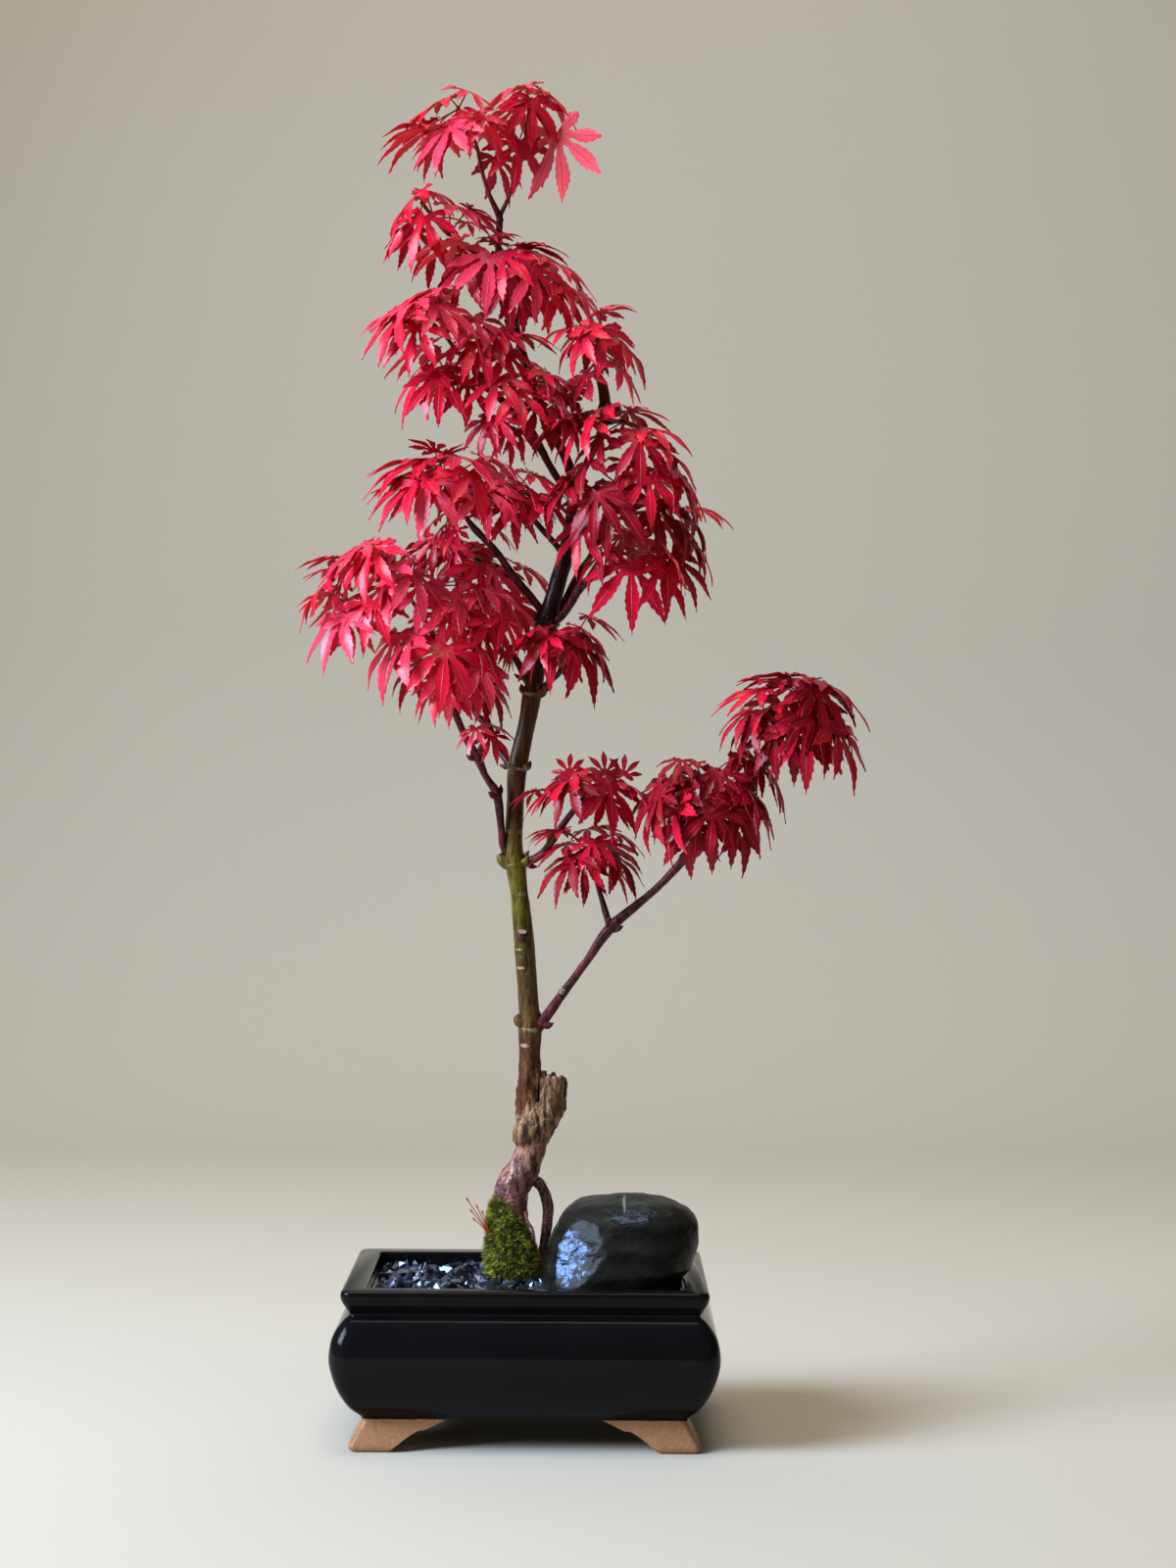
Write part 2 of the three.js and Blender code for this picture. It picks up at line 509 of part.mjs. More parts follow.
// The pot's hollow between two heights, smaller by a gap all round.
function potFilling(bottom, top, gap) {
  const insetAt = (z) => {
    const k = Math.max(POT_INSIDE.findIndex(([height]) => height >= z), 1);
    const [[z0, inset0], [z1, inset1]] = [POT_INSIDE[k - 1], POT_INSIDE[k]];
    return THREE.MathUtils.mapLinear(z, z0, z1, inset0, inset1);
  };
  const heights = POT_INSIDE.map(([height]) => height).filter((z) => z > bottom && z < top);
  return loft([bottom, ...heights, top].map((z) => potRing(z, insetAt(z) + gap)));
}

function upright(x, y, radius, bottom, top, sides = 16) {
  const geometry = new THREE.CylinderGeometry(radius, radius, top - bottom, sides);
  geometry.rotateX(Math.PI / 2);
  return toSolid(geometry.translate(x, y, (top + bottom) / 2));
}

function block(x0, x1, y0, y1, z0, z1) {
  const geometry = new THREE.BoxGeometry(x1 - x0, y1 - y0, z1 - z0);
  return toSolid(geometry.translate((x0 + x1) / 2, (y0 + y1) / 2, (z0 + z1) / 2));
}

// The opening between two feet, right through the pot along Y, or along X if sideways.
function footArch(reach, through, sideways) {
  const half = FOOT_ARCH.map(([run, height]) => new THREE.Vector2(reach - run, height));
  const outline = [...half, ...half.map((point) => new THREE.Vector2(-point.x, point.y)).reverse()];
  const shape = new THREE.Shape(outline);
  const geometry = new THREE.ExtrudeGeometry(shape, { depth: through, bevelEnabled: false });
  geometry.translate(0, 0, -through / 2).rotateX(Math.PI / 2);
  if (sideways) geometry.rotateZ(Math.PI / 2);
  return toSolid(geometry);
}

function makePot() {
  const body = loft(POT_OUTSIDE.map(([z, inset]) => potRing(z, inset)));
  const hollow = loft([...POT_INSIDE, [POT.height + 1, 17.5]].map(([z, inset]) => potRing(z, inset)));
  const ring = FOOT_RING_INSIDE;
  const under = block(-ring.x, ring.x, -ring.y, ring.y, -1, POT.footRing);
  let pot = body.subtract(hollow).subtract(under);
  pot = pot.subtract(footArch(FOOT_REACH.x, POT.depth, false));
  pot = pot.subtract(footArch(FOOT_REACH.y, POT.length, true));
  for (const x of [-DRAIN.x, DRAIN.x]) {
    pot = pot.subtract(upright(x, 0, DRAIN.radius, POT.footRing - 1, POT.floor + 1));
  }
  return pot;
}

function makeScreen(x) {
  const [half, hole] = [SCREEN.size / 2, SCREEN.hole / 2];
  const bottom = POT.floor + CLEARANCE;
  let screen = block(x - half, x + half, -half, half, bottom, bottom + SCREEN.thickness);
  for (const row of [-0.5, 0.5]) {
    for (const column of [-0.5, 0.5]) {
      const [cx, cy] = [x + column * SCREEN.pitch, row * SCREEN.pitch];
      screen = screen.subtract(block(cx - hole, cx + hole, cy - hole, cy + hole, 0, POT.height));
    }
  }
  return screen;
}

function makeSoil() {
  let soil = potFilling(POT.floor + CLEARANCE, SOIL_TOP, CLEARANCE);
  soil = soil.subtract(upright(TRUNK[0][0], TRUNK[0][1], 11.2, ROOT_DEPTH - CLEARANCE, SOIL_TOP + 1));
  const reach = SCREEN.size / 2 + CLEARANCE;
  const roof = POT.floor + SCREEN.thickness + 2 * CLEARANCE;
  for (const x of [-DRAIN.x, DRAIN.x]) {
    soil = soil.subtract(block(x - reach, x + reach, -reach, reach, POT.floor, roof));
  }
  return soil;
}

// One sharp-edged chip of gravel: a tetrahedron pulled out of shape and turned at random.
function gravelChip(x, y, random) {
  const geometry = new THREE.TetrahedronGeometry(GRAVEL.chip);
  geometry.scale(0.85 + 0.4 * random(), 0.85 + 0.3 * random(), 0.7 + 0.3 * random());
  geometry.rotateX(3 * random()).rotateY(3 * random()).rotateZ(3 * random());
  return toSolid(geometry.translate(x, y, GRAVEL.top - 1.4 + 1.6 * random()));
}

function makeGravel(keptClear) {
  const random = seeded(GRAVEL.seed);
  const inside = potFilling(SOIL_TOP + CLEARANCE, POT.height, CLEARANCE);
  const parts = [potFilling(SOIL_TOP + CLEARANCE, GRAVEL.top, CLEARANCE)];
  const halfX = POT.length / 2 - 24;
  const halfY = POT.depth / 2 - 24;
  const columns = Math.round((2 * halfX) / GRAVEL.pitch);
  const rows = Math.round((2 * halfY) / GRAVEL.pitch);
  for (let row = 0; row <= rows; row++) {
    for (let column = 0; column <= columns; column++) {
      const x = -halfX + ((column + 0.5 * (row % 2)) * 2 * halfX) / (columns + 0.5);
      const y = -halfY + (row * 2 * halfY) / rows;
      parts.push(gravelChip(x + 3 * (random() - 0.5), y + 3 * (random() - 0.5), random));
    }
  }
  let gravel = wasm.Manifold.union(parts).intersect(inside);
  for (const solid of keptClear) gravel = gravel.subtract(solid);
  return soundBody(gravel);
}

// The stone, or the bed that it needs: its own shape, larger by a gap.
function makeStone(gap = 0) {
  const rings = STONE.map(([z, x0, x1, y0, y1], level) => {
    const height = level === 0 ? z - gap : z;
    const ring = [];
    for (let i = 0; i < STONE_SIDES; i++) {
      const angle = (2 * Math.PI * i) / STONE_SIDES;
      const squared = (wave) => Math.sign(wave) * Math.abs(wave) ** 0.74;
      const x = (x0 + x1) / 2 + ((x1 - x0) / 2 + gap) * squared(Math.cos(angle));
      const y = (y0 + y1) / 2 + ((y1 - y0) / 2 + gap) * squared(Math.sin(angle));
      ring.push(new THREE.Vector3(x, y, height));
    }
    return ring;
  });
  return loft(rings);
}

// The cushion of moss, without the hole for the trunk.
function mossMound(gap = 0) {
  const random = seeded(3);
  const rings = [];
  for (let level = 0; level <= MOSS_LEVELS; level++) {
    const climb = level / MOSS_LEVELS;
    const ring = [];
    for (let i = 0; i < MOSS_SIDES; i++) {
      const angle = (2 * Math.PI * i) / MOSS_SIDES;
      const facing = 0.5 + 0.5 * Math.cos(angle - THREE.MathUtils.degToRad(MOSS_HIGH_SIDE));
      const top = MOSS.low + (MOSS.high - MOSS.low) * facing;
      const rough = 1.6 * (random() - 0.5);
      const radius = MOSS.radius - 1.6 * climb - 1.6 * climb ** 4 + rough + gap;
      const x = MOSS.x - 2.4 * climb + radius * Math.cos(angle);
      const y = MOSS.y + radius * Math.sin(angle);
      ring.push(new THREE.Vector3(x, y, MOSS.foot - gap + (top - MOSS.foot) * climb));
    }
    rings.push(ring);
  }
  return loft(rings);
}

// ---- Wood ------------------------------------------------------------------------------------

// A tapering body through its joints, square to a smooth line through them, larger by a gap.
function woodyStem(joints, sides, gap = 0) {
  const places = joints.map(([x, y, z]) => new THREE.Vector3(x, y, z));
  const line = new THREE.CatmullRomCurve3(places);
  const across = new THREE.Vector3(0.35, -1, 0.1);
  const rings = joints.map(([, , , radius], i) => {
    const along = line.getTangent(i / (joints.length - 1));
    across.addScaledVector(along, -across.dot(along)).normalize();
    const third = new THREE.Vector3().crossVectors(along, across);
    const ring = [];
    for (let side = 0; side < sides; side++) {
      const angle = (2 * Math.PI * side) / sides;
      ring.push(places[i].clone()
        .addScaledVector(across, (radius + gap) * Math.cos(angle))
        .addScaledVector(third, (radius + gap) * Math.sin(angle)));
    }
    return ring;
  });
  return loft(rings);
}

function makeWood() {
  const stems = [woodyStem(TRUNK, TRUNK_SIDES)];
  for (const joints of Object.values(LIMBS)) {
    const sides = joints[0][3] < 2.15 ? TWIG_SIDES : LIMB_SIDES;
    stems.push(woodyStem(joints, sides));
  }
  return soundBody(wasm.Manifold.union(stems));
}

// ---- Leafy sprays ----------------------------------------------------------------------------

// The joints of a twig that goes on from the flat end of its limb, across the small gap. Further
// twigs of a spray start inside the first one.
function twigJoints(limbName, places, isFirst) {
  const limb = limbName === 'trunk' ? TRUNK : LIMBS[limbName];
  const line = new THREE.CatmullRomCurve3(limb.map(([x, y, z]) => new THREE.Vector3(x, y, z)));
  const along = line.getTangent(1);
  const end = line.getPoint(1);
  const radius = limb.at(-1)[3];
  const start = end.clone().addScaledVector(along, CLEARANCE);
  const next = end.clone().addScaledVector(along, 2);
  const root = isFirst ? [[start, radius], [next, radius]] : [[next, 0.7 * radius]];
  return [
    ...root.map(([place, reach]) => [...place.toArray(), reach]),
    ...places.map(([x, y, z]) => [x, y, z, TWIG_RADIUS]),
  ];
}

// The bent blade's own axes: along the middle lobe, across it, and out of its upper face.
function leafAxes(heading, tilt, roll) {
  const [turn, dip] = [THREE.MathUtils.degToRad(heading), THREE.MathUtils.degToRad(tilt)];
  const out = new THREE.Vector3(Math.cos(turn), Math.sin(turn), 0);
  const along = out.clone().multiplyScalar(Math.cos(dip)).setZ(-Math.sin(dip));
  const across = new THREE.Vector3(-Math.sin(turn), Math.cos(turn), 0).applyAxisAngle(along, roll);
  return { along, across, up: new THREE.Vector3().crossVectors(along, across) };
}

// A leaf: a thin arched blade, cut into lobes and thickest along their ribs, on a three-sided
// stalk that runs from its seat under the hub to a joint of the twig.
function leafSolid({ hub, axes, length, droop }, joint) {
  const curve = droop / length;
  const points = [];
  const put = (degrees, reach, lift = 0, aside = 0) => {
    const angle = THREE.MathUtils.degToRad(degrees) + Math.atan2(aside, reach);
    const radius = Math.hypot(reach, aside) * length;
    const flat = Math.sin(curve * radius) / curve;
    const sag = (1 - Math.cos(curve * radius)) / curve;
    points.push(hub.clone()
      .addScaledVector(axes.along, flat * Math.cos(angle))
      .addScaledVector(axes.across, flat * Math.sin(angle))
      .addScaledVector(axes.up, lift - sag));
    return points.length - 1;
  };
  const top = put(0, 0, BLADE.hub);
  const seatReach = BLADE.seat / length;
  const [left, right, below] = [put(130, seatReach), put(-130, seatReach), put(0, 0, -BLADE.seat)];
  const notchAngles = LOBES.slice(1).map(([angle], i) => (angle + LOBES[i][0]) / 2);
  const notches = [-OUTER_NOTCH, ...notchAngles, OUTER_NOTCH].map((angle) => put(angle, BLADE.notch));
  const triangles = [];
  LOBES.forEach(([angle, reach, fullWidth], i) => {
    const width = length < SMALL_LEAF && angle !== 0 ? 0 : fullWidth;
    const [near, far] = [notches[i], notches[i + 1]];
    const tip = put(angle, reach);
    const rib = put(angle, BLADE.rib * reach, BLADE.thickness);
    if (width === 0) {
      triangles.push([top, near, rib], [near, tip, rib], [tip, far, rib], [far, top, rib]);
      triangles.push([below, far, near], [near, far, tip]);
      return;
    }
    const nearSide = put(angle, BLADE.shoulder * reach, 0, -width);
    const farSide = put(angle, BLADE.shoulder * reach, 0, width);
    triangles.push([top, near, rib], [near, nearSide, rib], [nearSide, tip, rib]);
    triangles.push([tip, farSide, rib], [farSide, far, rib], [far, top, rib]);
    triangles.push([below, nearSide, near], [below, farSide, nearSide], [below, far, farSide]);
    triangles.push([nearSide, farSide, tip]);
  });
  const last = notches.at(-1);
  triangles.push([top, last, left], [top, left, right], [top, right, notches[0]]);
  triangles.push([below, left, last], [below, notches[0], right]);
  if (!joint) return solidFrom(points, [...triangles, [left, below, right]]);

  const seat = [left, right, below];
  const centre = new THREE.Vector3();
  for (const k of seat) centre.addScaledVector(points[k], 1 / 3);
  const along = centre.clone().sub(joint).normalize();
  const spoke = points[below].clone().sub(centre);
  spoke.addScaledVector(along, -spoke.dot(along)).setLength(STALK.radius);
  const start = [THIRD_TURN, -THIRD_TURN, 0].map((turn) => (
    points.push(spoke.clone().applyAxisAngle(along, turn).add(joint)) - 1));
  for (const [a, b] of [[0, 1], [1, 2], [2, 0]]) {
    triangles.push([start[a], start[b], seat[b]], [start[a], seat[b], seat[a]]);
  }
  triangles.push([start[0], start[2], start[1]]);
  return solidFrom(points, triangles);
}

// The free stretch of a stalk, for testing what it would cross.
function stalkSolid({ hub }, joint) {
  const end = hub.clone().lerp(joint, Math.min(3 / hub.distanceTo(joint), 0.4));
  const start = joint.clone().lerp(hub, Math.min(2 / hub.distanceTo(joint), 0.4));
  return woodyStem([start, end].map((place) => [...place.toArray(), STALK.radius]), 3);
}

function boxesApart(a, b) {
  return [0, 1, 2].some((k) => a.min[k] > b.max[k] + CLEARANCE || b.min[k] > a.max[k] + CLEARANCE);
}

function isClear(part, others) {
  return others.every((other) => boxesApart(part.box, other.box)
    || part.solid.minGap(other.solid, 2 * CLEARANCE) >= CLEARANCE);
}

const withBox = (solid) => ({ solid, box: solid.boundingBox() });

// A leaf with its stalk, turned or moved a little where it would touch a neighbour.
function makeLeaf([x, y, z, length, heading, tilt], spray, random, others) {
  const place = new THREE.Vector3(x, y, z);
  const misfit = (joint) => Math.abs(joint.distanceTo(place) - STALK.length);
  const joint = spray.joints.reduce((best, next) => (misfit(next) < misfit(best) ? next : best));
  const droop = THREE.MathUtils.lerp(...BLADE_DROOP, random());
  const roll = 0.5 * (random() - 0.5);
  for (const shift of SHIFTS) {
    const hub = place.clone().add(new THREE.Vector3(...shift));
    const stem = withBox(stalkSolid({ hub }, joint));
    if (!isClear(stem, [...others, ...spray.leaves.map((leaf) => leaf.blade)])) continue;
    const toJoint = joint.clone().sub(hub).normalize();
    for (const [turn, dip] of BENDS) {
      const axes = leafAxes(heading + turn, tilt + dip, roll);
      if (toJoint.dot(axes.along) + 0.64 * toJoint.dot(axes.up) > LEAST_SEAT) continue;
      const leaf = { hub, axes, length, droop };
      const blade = withBox(leafSolid(leaf));
      const near = [...others, ...spray.twigs, ...spray.leaves.map((next) => next.whole), stem];
      if (!isClear(blade, near)) continue;
      const whole = withBox(leafSolid(leaf, joint));
      if (isClear(whole, others)) return { blade, whole };
    }
  }
  return null;
}

function makeSprays(wood) {
  const random = seeded(LEAF_SEED);
  const sprays = Object.entries(SPRAYS).map(([name, { limb, twigs, leaves }]) => {
    const lines = twigs.map((places, i) => twigJoints(limb, places, i === 0));
    const joints = lines.flatMap((line, k) => line.slice(k === 0 ? 2 : 1).map(([x, y, z], i) => {
      const before = new THREE.Vector3(...line[k === 0 ? i + 1 : i]);
      return new THREE.Vector3(x, y, z).addScaledVector(
        before.sub(new THREE.Vector3(x, y, z)).normalize(), STALK_ROOT);
    }));
    const stems = lines.map((line) => withBox(woodyStem(line, TWIG_SIDES)));
    return { name, joints, twigs: stems, list: leaves, leaves: [] };
  });
  for (const spray of sprays) {
    const rest = sprays.filter((other) => other !== spray);
    const others = [withBox(wood), ...rest.flatMap((other) => [
      ...other.twigs, ...other.leaves.map((leaf) => leaf.whole)])];
    for (const entry of spray.list) {
      const leaf = makeLeaf(entry, spray, random, others);
      if (leaf) spray.leaves.push(leaf);
    }
  }
  return sprays.map(({ name, twigs, leaves }) => {
    const parts = [...twigs, ...leaves.map((leaf) => leaf.whole)];
    return [`spray_${name}`, soundBody(wasm.Manifold.union(parts.map((part) => part.solid)))];
  });
}

// ---- The plant -------------------------------------------------------------------------------

const MATERIALS = {
  glaze: { color: 0x0d0c0c, roughness: 0.16, metalness: 0 },
  screen: { color: 0x1d1e1e, roughness: 0.55, metalness: 0 },
  soil: { color: 0x3a2a1d, roughness: 0.95, metalness: 0 },
  gravel: { color: 0x1b1b1d, roughness: 0.45, metalness: 0 },
  stone: { color: 0x24241f, roughness: 0.22, metalness: 0 },
  moss: { color: 0x6d7a1c, roughness: 0.95, metalness: 0 },
  bark: { color: 0x6a4430, roughness: 0.6, metalness: 0 },
  leaf: { color: 0xb51f38, roughness: 0.45, metalness: 0 },
};

const plant = new THREE.Group();

function addPiece(name, solid, material) {
  const geometry = toGeometry(solid);
  geometry.computeVertexNormals();
  const piece = new THREE.Mesh(geometry, new THREE.MeshStandardMaterial(MATERIALS[material]));
  piece.name = name;
  plant.add(piece);
}

const wood = makeWood();
const trunkRoom = woodyStem(TRUNK.slice(0, 8), TRUNK_SIDES, CLEARANCE + 0.1);
const rootLine = [...LIMBS.aerial_root.slice(0, -1), [7, 18.5, SOIL_TOP, 2.4]];
const rootRoom = woodyStem(rootLine, LIMB_SIDES, CLEARANCE + 0.1);
const moss = mossMound().subtract(trunkRoom).subtract(rootRoom);
const bedding = [makeStone(CLEARANCE + 0.1), mossMound(CLEARANCE + 0.1), trunkRoom, rootRoom];

addPiece('pot', makePot(), 'glaze');
addPiece('drain_screen_left', makeScreen(-DRAIN.x), 'screen');
addPiece('drain_screen_right', makeScreen(DRAIN.x), 'screen');
addPiece('soil', makeSoil(), 'soil');
addPiece('gravel', makeGravel(bedding), 'gravel');
addPiece('stone', makeStone(), 'stone');
addPiece('moss', soundBody(moss), 'moss');
addPiece('trunk', wood, 'bark');
for (const [name, solid] of makeSprays(wood)) addPiece(name, solid, 'leaf');

const extent = new THREE.Box3().setFromObject(plant);
const middle = extent.getCenter(new THREE.Vector3());
plant.position.set(-middle.x, -middle.y, -extent.min.z);

export default plant;
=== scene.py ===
"""The looks of a red-leaved Japanese maple bonsai in a glazed pot, built round its CAD frame.

Lengths in the lists are millimetres from the middle of the pot's foot; the meshes are in metres.
"""

import math
import random

import bmesh
import bpy
from mathutils import Euler, Matrix, Quaternion, Vector, noise


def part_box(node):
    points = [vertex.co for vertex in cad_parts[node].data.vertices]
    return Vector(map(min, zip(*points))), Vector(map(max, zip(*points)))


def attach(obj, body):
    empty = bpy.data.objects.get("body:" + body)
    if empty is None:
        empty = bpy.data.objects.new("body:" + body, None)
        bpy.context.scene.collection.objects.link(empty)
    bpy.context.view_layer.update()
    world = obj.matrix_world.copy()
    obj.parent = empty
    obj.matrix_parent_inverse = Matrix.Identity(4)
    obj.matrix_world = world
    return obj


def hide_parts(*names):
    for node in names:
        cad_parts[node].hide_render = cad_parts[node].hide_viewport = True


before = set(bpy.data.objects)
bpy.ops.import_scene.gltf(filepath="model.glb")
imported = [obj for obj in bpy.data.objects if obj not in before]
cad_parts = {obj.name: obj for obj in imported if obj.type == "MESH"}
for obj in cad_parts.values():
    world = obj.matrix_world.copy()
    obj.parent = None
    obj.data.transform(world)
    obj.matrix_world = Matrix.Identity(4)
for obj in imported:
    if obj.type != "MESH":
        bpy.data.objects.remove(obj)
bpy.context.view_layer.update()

# ---- Driving dimensions ----

MM = 0.001
pot_low, pot_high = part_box("pot")
# The middle of the pot's foot in the part's own frame.
ORIGIN = Vector(((pot_low.x + pot_high.x) / 2, (pot_low.y + pot_high.y) / 2, pot_low.z))

# The pot's size over its belly, its rim's height, and the heights of its floor and of its underside.
POT = {"length": 203, "depth": 157, "height": 83.5, "floor": 23.5, "foot_ring": 16.3}
BELLY_CORNER = 11  # plan radius of the corners at the belly
LEAST_CORNER = 3.5
CORNER_TAPER = 0.8  # how much smaller that radius gets for each millimetre of inset
CORNER_STEPS = 12
PAST = 1  # least length by which a cutting body goes past what it cuts
SHARP = {"pot": 35, "stone": 60, "blade": 50}  # edges stay sharp above this angle, in degrees
# Seeds of the random draws.
SEEDS = {"gravel": 21, "chips": 4, "moss": 3, "shoots": 8, "buds": 5, "blades": 17, "leaves": 11}
DRAIN = {"x": 45, "radius": 8, "sides": 40}
# Outside of the pot from the foot to the rim: height, and inset from the belly.
POT_OUTSIDE = [
    [0, 11.2], [0.5, 10.5], [1.6, 10.1], [3.5, 10.4], [8, 13], [13, 15.9], [16.3, 16.2], [22, 10.5],
    [32, 4], [45, 0], [55, 0.5], [62, 3], [68, 7.5], [70.4, 10.2], [73, 9.2], [77, 6.7], [80, 5.7],
    [82.5, 6.1], [83.5, 7.3],
]
POT_RINGS = 90
# Inside of the pot from its floor to the rim, in the same way.
POT_INSIDE = [[23.5, 26], [28, 21], [45, 13.5], [66, 18.2], [82.7, 18.2], [83.5, 17.5]]
# Underside of the apron, as half of an arch: distance from the end of the foot, and height.
FOOT_ARCH = [[0, -1], [0, 0], [6, 4.7], [14, 9.8], [19, 10.8], [31, 16.3]]
FOOT_ARCH_STEPS = 17
FOOT_REACH = {"x": 70, "y": 48}  # where the feet end, from the middle
FOOT_RING_INSIDE = {"x": 76, "y": 53}
GLAZE_EDGE = 15.4  # height at which the glaze stops and bare clay starts
GLAZE_FADE = 0.35  # above and below that edge

SOIL_TOP = 70
CLEARANCE = 0.3  # between two pieces that touch
ROOT_DEPTH = 45  # height at which the trunk's foot ends in the soil
# The gravel: the height of its bed, how far the chips stay inside the pot's belly, how many are tried,
# their sizes, how near two may lie for their size, how far below and above the bed they lie, and how far
# they reach under the stone and the moss.
GRAVEL = {
    "bed": 75.8, "edge": 18.4, "tries": 26000, "sizes": (2.9, 3.4, 4.0, 4.6), "near": 0.76,
    "sunk": -0.4, "raised": 1.8, "under_stone": 3, "under_moss": 1.5,
}
CHIP_KINDS = 8
CHIP_CORNERS = 9
CHIP_WIDTH = (1.05, 1.35)  # a chip's width and height against its depth, from least to most
CHIP_HEIGHT = (0.6, 0.8)
CELL = 5  # side of the squares that the chips are sorted into

# The stone's level sections from its bed to its top: height, left, right, front and back.
STONE = [
    [73, 12, 79, -50, 8], [78, 8.5, 82, -56, 14], [84, 8.6, 82.4, -57.5, 16], [90, 9.8, 87.5, -58, 18],
    [98, 11.5, 90, -57, 18.5], [106, 13.4, 91, -54, 18], [114, 17, 90.4, -50, 16],
    [119.5, 22, 86, -45, 12], [123.6, 28, 79, -38, 6], [126, 44, 68, -26, -6],
]
STONE_SIDES = 144
STONE_LEVELS = 60
STONE_CORNER = 0.74  # how square the sections are: at 1 they would be ellipses
STONE_CROWN = {"rise": 1.4, "rings": 8}  # how the top closes
STONE_AT_GRAVEL = {"level": 80, "power": 2.6}  # the section that keeps the chips out, nearly square
# The stone's relief: depth, width and detail of its lumps, which fade out towards its bed.
STONE_LUMPS = [[1.1, 26, 4], [0.25, 5, 3]]
STONE_FADE = [74, 8]  # height where they start, and over what height they grow
STONE_RIPPLE = {"depth": 0.15, "pitch": 2.6, "waver": 3, "width": 30}  # its level ripples
# Wrinkles of the surface in the glint spots: depth and width.
GLINT_WRINKLE = {"depth": 0.45, "width": 3.2}
# The flat broken face at the stone's front left: the way it faces, how deep it cuts, and how flat it is.
FACET = [-0.48, -0.81, 0.34]
FACET_DEPTH = 3.4
FACET_FLATNESS = 0.9
# Spots where the stone is made smoother, glossier and wrinkled, and where a painted glint, a blue-tinted
# reflection, is laid on: x, z, half-width and half-height.
GLINT_SPOTS = [[17.5, 97, 13, 12], [55, 120, 11, 6]]
PALE_TOP = (122, 133)  # height over which the stone gets paler
# Where a pale vein crosses the stone's front top edge: x, and over which heights and y it comes up.
VEIN = {"x": 51.6, "height": (119, 125), "front": (-18, -28)}

# The moss: where it stands, the height of its foot and of its upper edge on the low and the high side,
# its radius in the gravel, its depth on the trunk, and the compass direction of the high side.
MOSS = {
    "x": -8, "y": 15, "foot": 74, "low": 97, "high": 123, "radius": 14.4, "depth": 3.4, "high_side": 215,
}
MOSS_SIDES = 64
MOSS_RINGS = 22
MOSS_RAGGED = 3  # how far its upper edge goes up and down
MOSS_LUMPS = 1.1  # depth of its lumps
SHOOT_SPACING = 0.9
SHOOT_KINDS = 4
SHOOT_LEAVES = 5
SHOOT_LEAN = (0.5, 1.5)  # how far a shoot's leaf reaches out and up, from least to most
SHOOT_HEIGHT = (1.7, 3.1)
SHOOT_SIZES = (0.6, 1.25)
SHOOT_TONES = (0.1, 1.0)
MOST_SHOOTS = 3.0e6  # to the square metre
# The spore stalks: where they stand, where they end, how far their middles bow out, the place of the neck
# as a share of the length, the length of the beak, and the radii from the foot to the beak.
SPORE_FOOT = [-19, 8, 99]
SPORE_TIPS = [[-33, 4, 121], [-27.8, 5, 117], [-29.4, 6, 110], [-31, 9, 114], [-25, 11, 113]]
SPORE_BOW = (-1.2, 0, 1.8)
SPORE_NECK = 0.93
SPORE_BEAK = 1.2
SPORE_RADII = (0.3, 0.3, 0.28, 0.6, 0.2)

# ---- The plant's own lists ----

# Woody parts: x, y, z and radius at each of their joints.
TRUNK = [
    [-8, 15, ROOT_DEPTH, 8.5], [-8, 15, 62, 10.4], [-8, 15, 80, 10.6], [-9.2, 15, 100, 9.8],
    [-10, 15, 117, 9.6], [-8.2, 15, 127, 9.3], [-1.4, 15, 139.4, 8.4], [1.5, 15, 152.6, 7.9],
    [0.5, 15, 163, 7.4], [-0.6, 15, 172, 6.4], [0.2, 15, 186, 5.9], [0.1, 15, 199.5, 5.7],
    [0.4, 15, 212, 6.4], [-0.6, 15, 225.6, 5.4], [-3.4, 14, 262, 5.5], [-6.2, 13.5, 287.5, 4.8],
    [-8.1, 13, 302, 5.6], [-9.4, 13, 314, 5], [-8.4, 13.5, 337, 4.8], [-7.4, 14, 355, 5.3],
    [-2.6, 14, 378, 4.7], [0.4, 14, 395, 5.3], [4.2, 14, 413.3, 3.9], [7.9, 13.5, 434, 6.6],
    [10.5, 13, 443.5, 4.9], [14.8, 12.5, 459, 4.5], [18, 12, 470, 4.4], [20.5, 11.5, 487, 3.4],
    [21.8, 11, 503, 3.1], [19.5, 10.5, 519, 2.8], [8.5, 10, 542, 2.4], [0, 10, 562, 2.9],
    [-5.8, 10.5, 580, 2.1], [-10.8, 12, 595, 2.8], [-17, 12, 609, 2.4], [-20, 12, 626, 2.1],
    [-19.2, 12, 641, 1.7], [-19, 12, 652, 2],
]
# The slanting line between the trunk's smooth bark and the stub's: x at a height, and its slope.
STUB_EDGE = {"x": -5.6, "z": 160, "slope": 0.36}
# Pale scars on the front of the trunk: x, z, half-width and half-height.
BARK_SPOTS = [
    [-4.2, 266, 2.0, 1.1], [17.5, 233.5, 1.5, 1.5], [-5.4, 246, 2.4, 0.7], [-2.8, 203.8, 2.6, 1.0],
    [-6, 256, 1.6, 0.5],
]
# Levels on the trunk: the ruddy base and the graft start, the red bark starts beside the graft, side
# branches start, the bark gets young and smooth, and the wet coat and the violet glints end.
BARK_LEVELS = {
    "ruddy": 140, "graft": 152, "red": (164, 167), "branches": 196, "young": (190, 330),
    "coat": (150, 130), "glints": (152, 140),
}
BARK_RINGS = (164.3, 212.3, 252, 286, 320, 354, 395)  # heights of the pale rings round the trunk
